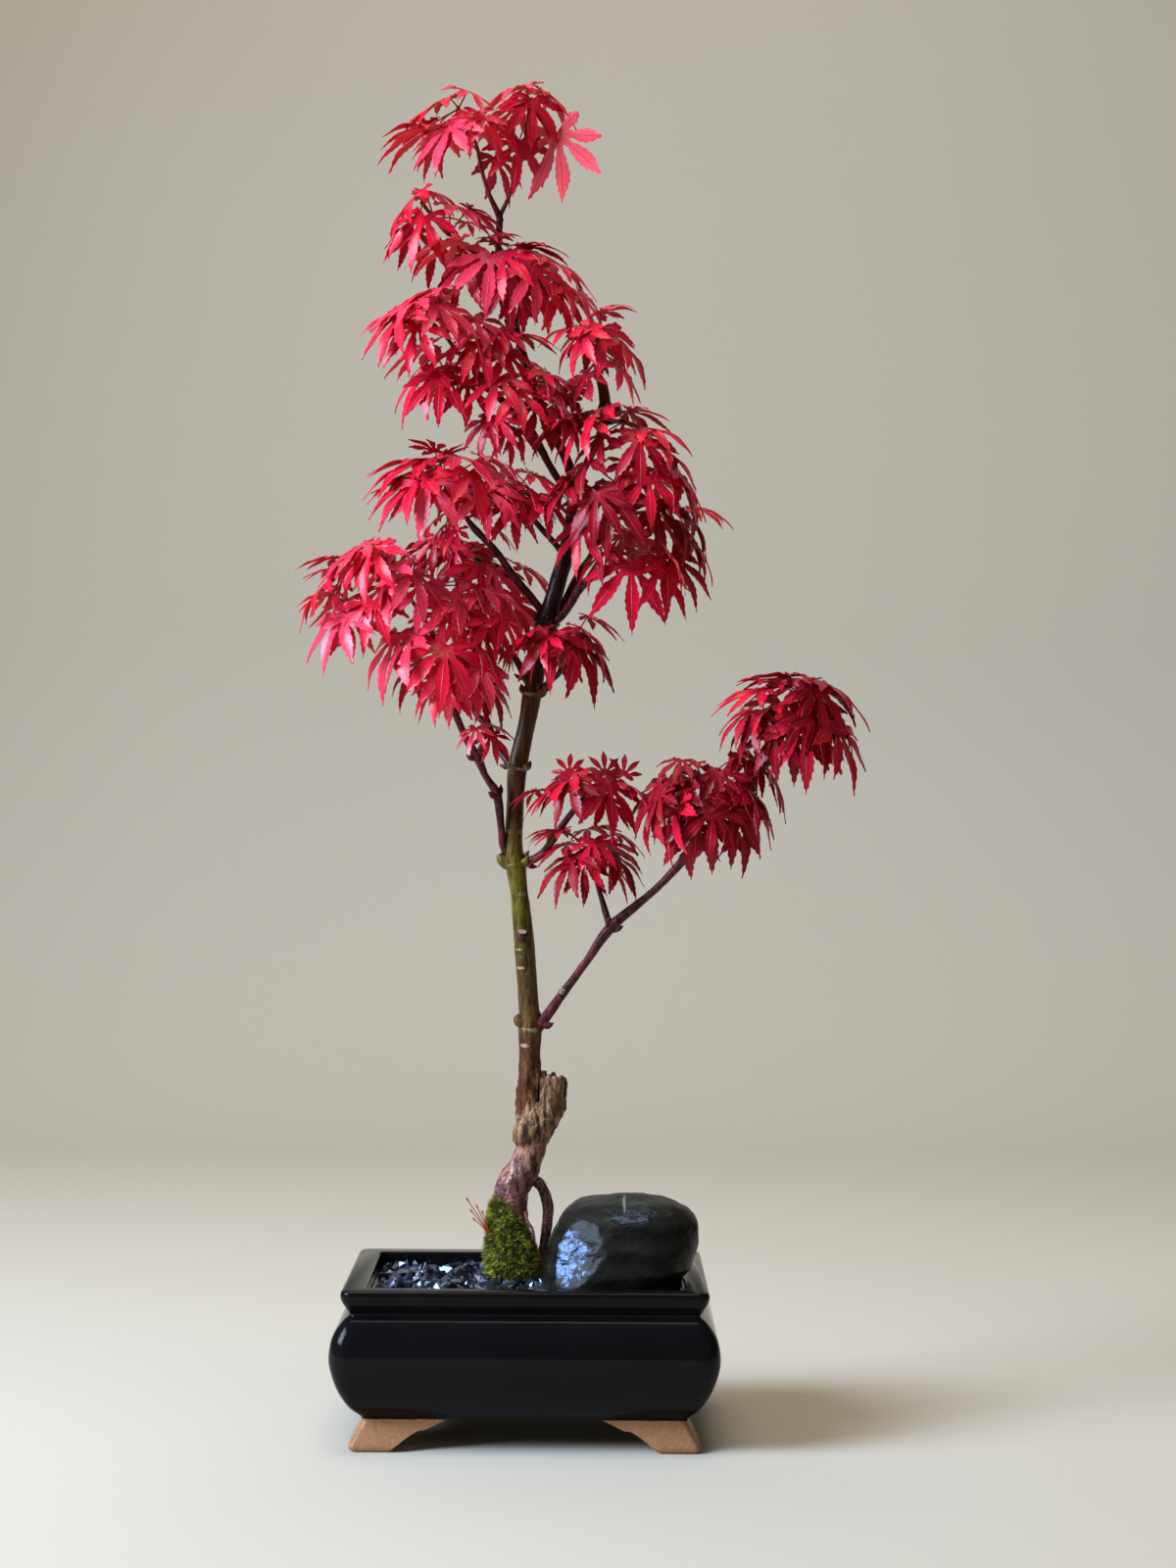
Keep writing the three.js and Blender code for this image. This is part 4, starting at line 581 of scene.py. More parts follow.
class Net:
    """A node tree to which nodes are added by type, settings and inputs."""

    def __init__(self, tree):
        self.tree = tree

    def node(self, kind, settings=None, inputs=None):
        made = self.tree.nodes.new(kind)
        for name, value in (settings or {}).items():
            setattr(made, name, value)
        for name, value in (inputs or {}).items():
            self.feed(made.inputs[name], value)
        return made

    def feed(self, socket, value):
        if isinstance(value, Wire):
            value = value.socket
        if isinstance(value, bpy.types.NodeSocket):
            self.tree.links.new(value, socket)
        else:
            socket.default_value = value

    def wire(self, kind, output=0, settings=None, inputs=None):
        return Wire(self, self.node(kind, settings, inputs).outputs[output])


class Paint(Net):
    """A material with one Principled shader."""

    def __init__(self, name, **constants):
        self.material = bpy.data.materials.new(name)
        self.material.use_nodes = True
        super().__init__(self.material.node_tree)
        self.tree.nodes.clear()
        self.shader = self.node("ShaderNodeBsdfPrincipled")
        self.surface = self.node("ShaderNodeOutputMaterial", None, {"Surface": self.shader.outputs[0]})
        for socket, value in constants.items():
            self.set(socket.replace("_", " "), value)
        self.place = self.wire("ShaderNodeTexCoord", "Object")
        split = self.node("ShaderNodeSeparateXYZ", None, {0: self.place})
        self.x, self.y, self.z = (Wire(self, split.outputs[k]) for k in range(3))

    def set(self, socket, value):
        self.feed(self.shader.inputs[socket], value)

    def noise(self, size, detail=3, roughness=0.55, stretch=None):
        """Soft noise from 0 to 1, whose patches are about size millimetres wide."""
        place = self.place
        if stretch:
            settings = {"operation": "MULTIPLY"}
            place = self.wire("ShaderNodeVectorMath", 0, settings, {0: place, 1: stretch})
        inputs = {"Vector": place, "Scale": 1 / (size * MM), "Detail": detail, "Roughness": roughness}
        return self.wire("ShaderNodeTexNoise", 0, None, inputs)

    def across(self):
        """Millimetres to the right of the pot's middle."""
        return self.x / MM - ORIGIN.x / MM

    def mix(self, share, first, second):
        """Two colours mixed: the second one's share is from 0 to 1."""
        return self.wire("ShaderNodeMix", 2, {"data_type": "RGBA"}, {0: share, 6: first, 7: second})

    def attribute(self, name):
        return self.wire("ShaderNodeAttribute", "Fac", {"attribute_name": name})

    def bump(self, height, depth, strength=1.0):
        """Dents in the surface, depth millimetres deep."""
        inputs = {"Height": height * depth, "Distance": MM, "Strength": strength}
        self.dents = self.wire("ShaderNodeBump", 0, None, inputs)
        self.set("Normal", self.dents)

    def shine(self, share, colour, roughness):
        """A coloured reflection laid over the dented surface."""
        inputs = {"Color": colour, "Roughness": roughness, "Normal": self.dents}
        gloss = self.wire("ShaderNodeBsdfAnisotropic", 0, None, inputs)
        both = self.wire("ShaderNodeMixShader", 0, None, {0: share, 1: self.shader.outputs[0], 2: gloss})
        self.feed(self.surface.inputs["Surface"], both)


class Works(Net):
    """A Geometry Nodes tree with named inputs."""

    def __init__(self, name, entries):
        super().__init__(bpy.data.node_groups.new(name, "GeometryNodeTree"))
        socket = self.tree.interface.new_socket
        socket("Geometry", in_out="INPUT", socket_type="NodeSocketGeometry")
        for label, kind in entries:
            socket(label, in_out="INPUT", socket_type="NodeSocket" + kind)
        socket("Geometry", in_out="OUTPUT", socket_type="NodeSocketGeometry")
        self.entry = self.node("NodeGroupInput").outputs
        self.exit = self.node("NodeGroupOutput").inputs

    def step(self, kind, settings=None, inputs=None, output=0):
        return self.node(kind, settings, inputs).outputs[output]

    def named(self, attribute, kind="FLOAT"):
        return self.step("GeometryNodeInputNamedAttribute", {"data_type": kind}, {"Name": attribute})

    def set_out(self, points, how):
        """Shapes out of the entry's collection, one on each point."""
        whole = {"Collection": self.entry["Shapes"], "Separate Children": True, "Reset Children": True}
        shapes = self.step("GeometryNodeCollectionInfo", None, whole)
        inputs = {"Points": points, "Instance": shapes, "Pick Instance": True, **how}
        placed = self.step("GeometryNodeInstanceOnPoints", None, inputs)
        return self.step("GeometryNodeRealizeInstances", None, {"Geometry": placed})

    def finish(self, geometry):
        """Gives the geometry the entry's material and hands it out."""
        inputs = {"Geometry": geometry, "Material": self.entry["Surface"]}
        self.feed(self.exit["Geometry"], self.step("GeometryNodeSetMaterial", None, inputs))
        return self


def settle(piece):
    """Turns the piece and what its modifiers make of it into one plain mesh."""
    view = bpy.context.evaluated_depsgraph_get()
    made = bpy.data.meshes.new_from_object(piece.evaluated_get(view), depsgraph=view)
    piece.modifiers.clear()
    old = piece.data
    piece.data = made
    made.name = piece.name
    bpy.data.meshes.remove(old)
    return piece


def grow(piece, works, **values):
    """Runs a Geometry Nodes tree on the piece, with values for its named inputs."""
    modifier = piece.modifiers.new("grow", "NODES")
    modifier.node_group = works.tree
    for item in works.tree.interface.items_tree:
        label = item.name.replace(" ", "_")
        if item.in_out == "INPUT" and label in values:
            modifier[item.identifier] = values[label]
    return settle(piece)


# ---- Meshes ----

def place(x, y, z):
    return ORIGIN + Vector((x, y, z)) * MM


def lerp(a, b, share):
    return a + (b - a) * share


def smooth_line(points, share):
    """A point on the smooth line through all the points, at a share of their number."""
    last = len(points) - 1
    k = min(int(share * last), last - 1)
    t = share * last - k
    before, start, end, after = (points[min(max(i, 0), last)] for i in range(k - 1, k + 3))
    return [
        0.5 * (2 * b + (c - a) * t + (2 * a - 5 * b + 4 * c - d) * t * t + (3 * b - a - 3 * c + d) * t**3)
        for a, b, c, d in zip(before, start, end, after)
    ]


def resampled(points, count):
    return [smooth_line(points, i / (count - 1)) for i in range(count)]


def read_off(rows, at):
    """The values of the rows at a place between them; the place is a row's first number."""
    for row, following in zip(rows, rows[1:]):
        if at <= following[0]:
            share = (at - row[0]) / (following[0] - row[0])
            return [lerp(a, b, share) for a, b in zip(row[1:], following[1:])]
    return rows[-1][1:]


def angles(count):
    return [TURN * i / count for i in range(count)]


def outward(angle):
    return Vector((math.cos(angle), math.sin(angle), 0))


def lumps(spot, detail):
    return noise.fractal(spot, 0.9, 2.1, detail)


def mesh_of(name, points, faces=(), edges=()):
    mesh = bpy.data.meshes.new(name)
    mesh.from_pydata(points, edges, faces)
    mesh.update()
    return mesh


def object_of(name, mesh):
    piece = bpy.data.objects.new(name, mesh)
    bpy.context.scene.collection.objects.link(piece)
    return piece


def loft(name, rings):
    """A closed body through rings of points."""
    count = len(rings[0])
    points = [place(*point) for ring in rings for point in ring]
    faces = [tuple(reversed(range(count)))]
    for level in range(len(rings) - 1):
        for i in range(count):
            a, b = level * count + i, level * count + (i + 1) % count
            faces.append((a, b, b + count, a + count))
    top = (len(rings) - 1) * count
    faces.append(tuple(range(top, top + count)))
    return object_of(name, mesh_of(name, points, faces))


def give(mesh, name, kind, values):
    """Stores a value for each point of the mesh under a name."""
    attribute = mesh.attributes.new(name, kind, "POINT")
    for entry, value in zip(attribute.data, values):
        entry.value = value


def finish_piece(piece, stands_for, material=None, sharp=None):
    """Makes the piece ride on the plant's body in place of its CAD node."""
    if material:
        piece.data.materials.clear()
        piece.data.materials.append(material)
    if sharp is not None:
        piece.data.shade_smooth()
        piece.data.set_sharp_from_angle(angle=math.radians(sharp))
    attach(piece, "root")
    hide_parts(stands_for)
    return piece


def remove(*pieces):
    for piece in pieces:
        mesh = piece.data
        bpy.data.objects.remove(piece)
        bpy.data.meshes.remove(mesh)


# ---- Materials ----

def glaze_paint():
    paint = Paint("glaze and bare clay", IOR=1.4, Specular_IOR_Level=0.12, Coat_Roughness=0.05)
    waver = paint.noise(14)
    height = paint.z / MM + 1.2 * (waver - 0.5)
    glazed = height.between(GLAZE_EDGE - GLAZE_FADE, GLAZE_EDGE + GLAZE_FADE)
    cloud = paint.noise(38, 4)
    black = paint.mix(cloud, (0.003, 0.003, 0.0035, 1), (0.007, 0.0065, 0.007, 1))
    speckle = paint.noise(1.6, 5)
    clay = paint.mix(speckle, (0.24, 0.10, 0.044, 1), (0.54, 0.27, 0.125, 1))
    stain = paint.noise(9, 4).between(0.52, 0.75)
    clay = paint.mix(0.55 * stain, clay, (0.20, 0.085, 0.042, 1))
    paint.set("Base Color", paint.mix(glazed, clay, black))
    ripple = paint.noise(26, 2)
    paint.set("Roughness", glazed * (0.10 + 0.05 * cloud) + (1 - glazed) * (0.36 + 0.2 * speckle))
    paint.set("Coat Weight", 0.22 - 0.16 * glazed)
    paint.bump(glazed * (0.5 * ripple) + (1 - glazed) * speckle, 0.35, 0.6)
    return paint.material


def plain_paint(name, roughness, patch, one, other, detail=3):
    """A material that wavers between two tones, in patches about so many millimetres wide."""
    paint = Paint(name, Roughness=roughness)
    paint.set("Base Color", paint.mix(paint.noise(patch, detail), one, other))
    return paint.material


def screen_paint():
    return plain_paint("black plastic net", 0.55, 3, (0.012, 0.012, 0.013, 1), (0.03, 0.03, 0.032, 1))


def soil_paint():
    paint = Paint("soil", Roughness=0.95)
    grain = paint.noise(3.5, 5)
    paint.set("Base Color", paint.mix(grain, (0.012, 0.008, 0.005, 1), (0.075, 0.045, 0.026, 1)))
    paint.bump(grain, 1.0)
    return paint.material


def gravel_paint():
    paint = Paint("wet black gravel", IOR=1.5)
    tone = paint.attribute("tone")
    grain = paint.noise(1.8, 4)
    grey = paint.mix(tone, (0.006, 0.007, 0.012, 1), (0.045, 0.051, 0.070, 1))
    paint.set("Base Color", paint.mix(0.2 * grain, grey, (0.05, 0.055, 0.07, 1)))
    paint.set("Roughness", 0.22 + 0.25 * grain * tone)
    paint.set("Coat Weight", 0.5 - 0.4 * tone)
    paint.bump(grain, 0.06)
    # Painted reflection: the shine's blue tint stands in for the blue sky light that the chips reflect.
    paint.shine(0.12 - 0.06 * tone, (0.30, 0.52, 1, 1), 0.22)
    return paint.material


def stone_paint():
    paint = Paint("polished dark stone", IOR=1.4, Specular_IOR_Level=0.14, Coat_Roughness=0.06)
    warp = paint.noise(22, 3)
    across = paint.across()
    height = paint.z / MM
    layer = paint.noise(8, 5, 0.6, (0.25, 0.25, 1.4))
    band = (paint.z * 520 + warp * 5 + layer * 3).wave() * 0.5 + 0.5
    dark = paint.mix(layer, (0.002, 0.002, 0.002, 1), (0.009, 0.009, 0.008, 1))
    olive = paint.mix(0.5 * band, dark, (0.020, 0.020, 0.014, 1))
    pale_top = (height + 14 * warp).between(*PALE_TOP)
    olive = paint.mix(0.5 * pale_top, olive, (0.03, 0.03, 0.024, 1))
    vein = abs(across - VEIN["x"] - 3 * (layer - 0.5) - 3 * (warp - 0.5)).between(0.9, 0.2)
    vein = vein * height.between(*VEIN["height"]) * (paint.y / MM).between(*VEIN["front"])
    olive = paint.mix(0.7 * vein, olive, (0.36, 0.34, 0.26, 1))
    paint.set("Base Color", olive)
    ragged = paint.noise(5, 4)
    # Painted glint: in the glint spots the stone gets smoother and glossier, and a blue-tinted reflection
    # is laid on whose blue stands in for the light of the window.
    glinting = 0
    for x, z, half_width, half_height in GLINT_SPOTS:
        away = ((across - x) / half_width) ** 2 + ((height - z) / half_height) ** 2
        glinting = glinting + (away + 6 * (ragged - 0.5)).between(1.4, 0.3)
    wrinkle = paint.noise(4, 3, 0.55, (1, 1, 1.6))
    paint.set("Roughness", 0.42 - 0.3 * glinting)
    paint.set("Coat Weight", 0.05 + 0.06 * glinting)
    paint.bump(0.35 * layer + 0.65 * wrinkle, 1.1, 0.9)
    paint.shine(0.045 * glinting, (0.20, 0.44, 1, 1), 0.12)
    return paint.material


def moss_paint():
    paint = Paint("moss", Roughness=0.9)
    tone = paint.attribute("tone")
    # Painted shade: random patches are darkened towards a near-black green, for the shade in the gaps
    # between the shoots.
    patch = paint.noise(6, 4).between(0.38, 0.62)
    green = paint.mix(tone * tone, (0.04, 0.05, 0.003, 1), (1.0, 0.98, 0.09, 1))
    paint.set("Base Color", paint.mix(0.6 * (1 - patch), green, (0.06, 0.06, 0.010, 1)))
    paint.bump(paint.noise(1.2, 4), 0.5)
    return paint.material


def spore_paint():
    return plain_paint("moss spore stalks", 0.45, 4, (0.30, 0.03, 0.006, 1), (0.70, 0.13, 0.012, 1))


def bark_paint():
    """Bark from the rough purplish base to the dark young branches."""
    paint = Paint("bark", IOR=1.45, Specular_IOR_Level=0.22)
    wood = paint.attribute("wood")
    across = paint.across()
    height = paint.z / MM
    streak = paint.noise(3.2, 5, 0.65, (1, 1, 0.2)).between(0.34, 0.66)
    speck = paint.noise(1.6, 4)
    patch = paint.noise(8, 3).between(0.44, 0.6)
    level = height + 10 * (streak - 0.5)

    def above(z, spread):
        return level.between(z - spread, z + spread)

    base = paint.mix(streak * speck.between(0.3, 0.6), (0.03, 0.008, 0.008, 1), (0.50, 0.19, 0.15, 1))
    crack = paint.noise(3.2, 4, 0.6, (1, 1, 0.22)).between(0.38, 0.54)
    graft = paint.mix(streak * (0.1 + 0.9 * crack), (0.025, 0.009, 0.003, 1), (0.48, 0.265, 0.125, 1))
    red = paint.mix(streak, *BARK_BANDS["red"][2:])
    ruddy = paint.mix(streak, (0.10, 0.035, 0.022, 1), (0.60, 0.31, 0.19, 1))
    colour = paint.mix(0.8 * above(BARK_LEVELS["ruddy"], 14), base, ruddy)
    stub_side = across - STUB_EDGE["x"] - STUB_EDGE["slope"] * (height - STUB_EDGE["z"])
    stub = stub_side + 2 * (speck - 0.5)
    over_burl = height.between(*BARK_LEVELS["red"])
    is_graft = 1 - stub.between(0.8, -0.8) * over_burl
    colour = paint.mix(above(BARK_LEVELS["graft"], 3) * is_graft, colour, graft)
    colour = paint.mix(over_burl * (1 - is_graft), colour, red)
    for start, spread, dark, pale in BARK_BANDS.values():
        colour = paint.mix(above(start, spread), colour, paint.mix(streak, dark, pale))
    on_branches = above(BARK_LEVELS["branches"], 4)
    branch = paint.mix(streak, (0.010, 0.0015, 0.003, 1), (0.135, 0.014, 0.018, 1))
    colour = paint.mix(wood.between(4.2, 3.4) * on_branches, colour, branch)
    stalk = paint.mix(speck, (0.30, 0.012, 0.02, 1), (0.62, 0.045, 0.05, 1))
    colour = paint.mix(wood.between(1.4, 0.7) * on_branches, colour, stalk)
    scar = 0
    for ring in BARK_RINGS:
        scar = scar + abs(height + 5 * (speck - 0.5) - ring).between(1.3, 0.5)
    colour = paint.mix(0.5 * patch * scar * wood.between(3.3, 4.3), colour, (0.48, 0.38, 0.26, 1))
    for x, z, half_width, half_height in BARK_SPOTS:
        away = ((across - x) / half_width) ** 2 + ((height - z) / half_height) ** 2
        spot = (away + 2.4 * (speck - 0.5)).between(1.5, 0.7) * (paint.y / MM).between(14, 10)
        colour = paint.mix(0.7 * spot, colour, (0.50, 0.39, 0.26, 1))
    paint.set("Base Color", colour)
    young = height.between(*BARK_LEVELS["young"])
    paint.set("Roughness", 0.45 - 0.15 * young + 0.3 * (speck - 0.5))
    glint = paint.noise(1.1, 3).between(0.5, 0.62)
    coat = glint * height.between(*BARK_LEVELS["coat"])
    paint.set("Coat Weight", (1 - young) * coat + 0.12 * young)
    paint.set("Coat Roughness", 0.2)
    paint.bump(0.5 * streak + 0.5 * speck, 1.2 - 0.8 * young, 0.9)
    paint.shine(0.07 * glint * height.between(*BARK_LEVELS["glints"]), (0.8, 0.7, 1, 1), 0.3)
    return paint.material


def leaf_paint():
    paint = Paint(
        "red leaf", IOR=1.4, Specular_IOR_Level=0.2, Coat_Roughness=0.24, Subsurface_Weight=0.25,
        Subsurface_Radius=(1.0, 0.12, 0.14), Subsurface_Scale=1.2 * MM,
    )
    tone = paint.attribute("tone")
    under = paint.attribute("under")
    uv = paint.node("ShaderNodeUVMap", {"uv_map": "blade"}).outputs[0]
    split = paint.node("ShaderNodeSeparateXYZ", None, {0: uv})
    across = abs(Wire(paint, split.outputs[0]) * 2 - 1)
    along = Wire(paint, split.outputs[1])
    rib = across.between(0.13, 0.03)
    side_ribs = abs((along * 11 - across * 1.1).fraction() - 0.5).between(0.075, 0.01)
    side_ribs = side_ribs * across.between(0.95, 0.6)
    cloud = paint.noise(7, 3)
    deep = paint.mix(cloud, (0.18, 0.001, 0.008, 1), (0.38, 0.002, 0.015, 1))
    crimson = paint.mix(cloud, (0.64, 0.002, 0.022, 1), (0.88, 0.006, 0.045, 1))
    pink = paint.mix(cloud, (0.92, 0.018, 0.075, 1), (0.94, 0.07, 0.13, 1))
    # The tone carries painted light and shade as well as random variation: leaves of the lit sprays are
    # painted towards pink, those of the shaded ones towards deep red, and the coat follows the tone too.
    upper = paint.mix(tone.between(0, 0.5), deep, crimson)
    upper = paint.mix(tone.between(0.62, 1), upper, pink)
    upper = paint.mix(0.4 * rib, upper, (0.85, 0.12, 0.12, 1))
    upper = paint.mix(0.22 * side_ribs, upper, (0.10, 0.004, 0.012, 1))
    below = paint.mix(tone.between(0.3, 1), (0.34, 0.005, 0.02, 1), (0.88, 0.085, 0.11, 1))
    below = paint.mix(0.4 * rib, below, (0.32, 0.02, 0.03, 1))
    edge = across.between(0.88, 1)
    upper = paint.mix(0.35 * edge, upper, (0.14, 0.005, 0.014, 1))
    paint.set("Base Color", paint.mix(under, upper, below))
    paint.set("Roughness", 0.34 + 0.2 * under + 0.12 * (cloud - 0.5))
    paint.set("Coat Weight", (1 - under) * (0.12 + 0.3 * tone))
    paint.bump(0.6 * side_ribs + rib + 0.8 * paint.noise(2.2, 3), 0.35, 0.7)
    return paint.material


# ---- The pot and what fills it ----

def pot_ring(z, inset):
    """A level ring of the pot at an inset from its belly: a rectangle with round corners."""
    radius = max(LEAST_CORNER, BELLY_CORNER - CORNER_TAPER * inset)
    half_x = POT["length"] / 2 - inset - radius
    half_y = POT["depth"] / 2 - inset - radius
    ring = []
    for sx, sy, start in ((1, 1, 0), (-1, 1, 90), (-1, -1, 180), (1, -1, 270)):
        for step in range(CORNER_STEPS + 1):
            angle = math.radians(start + 90 * step / CORNER_STEPS)
            x, y = radius * math.cos(angle), radius * math.sin(angle)
            ring.append((sx * half_x + x, sy * half_y + y, z))
    return ring


def block(x0, x1, y0, y1, z0, z1):
    rings = [[(x0, y0, z), (x1, y0, z), (x1, y1, z), (x0, y1, z)] for z in (z0, z1)]
    return loft("block", rings)


def foot_arch(reach, through, sideways):
    """The opening between two feet, right through the pot."""
    half = [FOOT_ARCH[0], *resampled(FOOT_ARCH[1:], FOOT_ARCH_STEPS)]
    outline = [(reach - run, z) for run, z in half]
    outline += [(-u, z) for u, z in reversed(outline)]
    outline.reverse()
    rings = []
    for depth in (-through / 2, through / 2):
        rings.append([(-depth, u, z) if sideways else (u, depth, z) for u, z in outline])
    return loft("arch", rings)


def cut(body, *tools):
    for tool in tools:
        modifier = body.modifiers.new("cut", "BOOLEAN")
        modifier.operation = "DIFFERENCE"
        modifier.solver = "EXACT"
        modifier.object = tool
    settle(body)
    remove(*tools)


def face_out(piece):
    """Turns every face of a closed piece outwards."""
    work = bmesh.new()
    work.from_mesh(piece.data)
    bmesh.ops.recalc_face_normals(work, faces=work.faces)
    work.to_mesh(piece.data)
    work.free()
    return piece


def make_pot():
    outside = resampled(POT_OUTSIDE, POT_RINGS)
    pot = face_out(loft("pot_body", [pot_ring(z, inset) for z, inset in outside]))
    inside = [*POT_INSIDE, [POT["height"] + 2 * PAST, POT_INSIDE[-1][1]]]
    hollow = face_out(loft("hollow", [pot_ring(z, inset) for z, inset in inside]))
    ring = FOOT_RING_INSIDE
    under = face_out(block(-ring["x"], ring["x"], -ring["y"], ring["y"], -PAST, POT["foot_ring"]))
    arches = [
        face_out(foot_arch(FOOT_REACH["x"], POT["depth"] + 4 * PAST, False)),
        face_out(foot_arch(FOOT_REACH["y"], POT["length"] + 4 * PAST, True)),
    ]
    holes = []
    for x in (-DRAIN["x"], DRAIN["x"]):
        radius = DRAIN["radius"]
        rings = [
            [(x + radius * math.cos(a), radius * math.sin(a), z) for a in angles(DRAIN["sides"])]
            for z in (POT["foot_ring"] - PAST, POT["floor"] + PAST)
        ]
        holes.append(face_out(loft("hole", rings)))
    cut(pot, hollow, under, *arches, *holes)
    return finish_piece(pot, "pot", glaze_paint(), SHARP["pot"])


def stone_outline(z):
    """The stone's section at a height: its middle and half-widths."""
    levels = [row[0] for row in STONE]
    k = max(i for i in range(len(levels) - 1) if levels[i] <= z or i == 0)
    share = (k + (z - levels[k]) / (levels[k + 1] - levels[k])) / (len(STONE) - 1)
    _, x0, x1, y0, y1 = smooth_line(STONE, min(share, 1))
    return (x0 + x1) / 2, (y0 + y1) / 2, (x1 - x0) / 2, (y1 - y0) / 2


def in_stone(x, y, margin):
    """Whether a place on the gravel lies in the stone, by more than a margin."""
    mid_x, mid_y, half_x, half_y = stone_outline(STONE_AT_GRAVEL["level"])
    across, back = abs((x - mid_x) / (half_x - margin)), abs((y - mid_y) / (half_y - margin))
    power = STONE_AT_GRAVEL["power"]
    return across**power + back**power < 1


def make_stone():
    """A rounded slab with soft facets, closed over its top and its bed."""
    bottom, top = STONE[0][0], STONE[-1][0]
    rings = []
    for level in range(STONE_LEVELS + 1):
        z = lerp(bottom, top, level / STONE_LEVELS)
        mid_x, mid_y, half_x, half_y = stone_outline(z)
        ring = []
        for angle in angles(STONE_SIDES):
            c, s = math.cos(angle), math.sin(angle)
            x = mid_x + half_x * math.copysign(abs(c) ** STONE_CORNER, c)
            y = mid_y + half_y * math.copysign(abs(s) ** STONE_CORNER, s)
            ring.append((x, y, z))
        rings.append(ring)
    for k in range(1, STONE_CROWN["rings"]):
        share = 1 - k / STONE_CROWN["rings"]
        z = top + STONE_CROWN["rise"] * (1 - share**2)
        rings.append([(lerp(mid_x, x, share), lerp(mid_y, y, share), z) for x, y, _ in ring])
    stone = face_out(loft("river_stone", rings))
    facing = Vector(FACET).normalized()
    edge = max(vertex.co.dot(facing) for vertex in stone.data.vertices) - FACET_DEPTH * MM
    for vertex in stone.data.vertices:
        over = vertex.co.dot(facing) - edge
        vertex.co -= facing * max(0, over) * FACET_FLATNESS
    for vertex in stone.data.vertices:
        spot = vertex.co / MM
        push = sum(depth * lumps(spot / width, detail) for depth, width, detail in STONE_LUMPS)
        waver = STONE_RIPPLE["waver"] * noise.noise(spot / STONE_RIPPLE["width"])
        ripple = STONE_RIPPLE["depth"] * math.sin(spot.z / STONE_RIPPLE["pitch"] + waver)
        fade = min(1, max(0, (spot.z - STONE_FADE[0]) / STONE_FADE[1]))
        # Whether the point lies in a spot of the painted glint, where the surface gets wrinkled.
        glinting = any(
            math.hypot((spot.x - x) / half_width, (spot.z - z) / half_height) < 1
            for x, z, half_width, half_height in GLINT_SPOTS
        )
        wrinkle = GLINT_WRINKLE["depth"] * noise.noise(spot / GLINT_WRINKLE["width"]) if glinting else 0
        vertex.co += vertex.normal * MM * fade * (push + ripple + wrinkle)
    return finish_piece(stone, "stone", stone_paint(), SHARP["stone"])


def chip_shapes():
    """Small sharp-edged stones, each the hull of a few random points about one millimetre out."""
    pick = random.Random(SEEDS["chips"])
    shapes = bpy.data.collections.new("chips")
    for k in range(CHIP_KINDS):
        work = bmesh.new()
        wide, tall = pick.uniform(*CHIP_WIDTH), pick.uniform(*CHIP_HEIGHT)
        for _ in range(CHIP_CORNERS):
            spot = Vector([pick.uniform(-1, 1) for _ in range(3)]).normalized()
            work.verts.new(Vector((spot.x * wide, spot.y, spot.z * tall)) * MM)
        made = bmesh.ops.convex_hull(work, input=work.verts)
        loose = [v for v in made["geom_interior"] if isinstance(v, bmesh.types.BMVert)]
        bmesh.ops.delete(work, geom=loose, context="VERTS")
        bmesh.ops.recalc_face_normals(work, faces=work.faces)
        mesh = bpy.data.meshes.new(f"chip_{k}")
        work.to_mesh(mesh)
        work.free()
        shapes.objects.link(bpy.data.objects.new(f"chip_{k}", mesh))
    return shapes


def scatter_works():
    """Shapes out of a collection set on points that carry their choice, turn, size and tone."""
    works = Works("scatter", [("Shapes", "Collection"), ("Surface", "Material")])
    how = {
        "Instance Index": works.named("choice", "INT"),
        "Rotation": works.named("turn", "QUATERNION"), "Scale": works.named("size"),
    }
    return works.finish(works.set_out(works.entry["Geometry"], how))


def scattered(name, entries, works, shapes, material):
    """A mesh of shapes set out by (point, turn, size, choice, tone)."""
    points, turns, sizes, choices, tones = zip(*entries)
    mesh = mesh_of(name, points)
    give(mesh, "turn", "QUATERNION", turns)
    give(mesh, "size", "FLOAT", sizes)
    give(mesh, "choice", "INT", choices)
    give(mesh, "tone", "FLOAT", tones)
    return grow(object_of(name, mesh), works, Shapes=shapes, Surface=material)


def random_turn(pick):
    return Euler([pick.uniform(0, ROUND) for _ in range(3)]).to_quaternion()


def joined(name, *pieces):
    """Several pieces as one mesh, with their materials."""
    with bpy.context.temp_override(
        active_object=pieces[0], selected_editable_objects=pieces, object=pieces[0]
    ):
        bpy.ops.object.join()
    pieces[0].name = name
    return pieces[0]


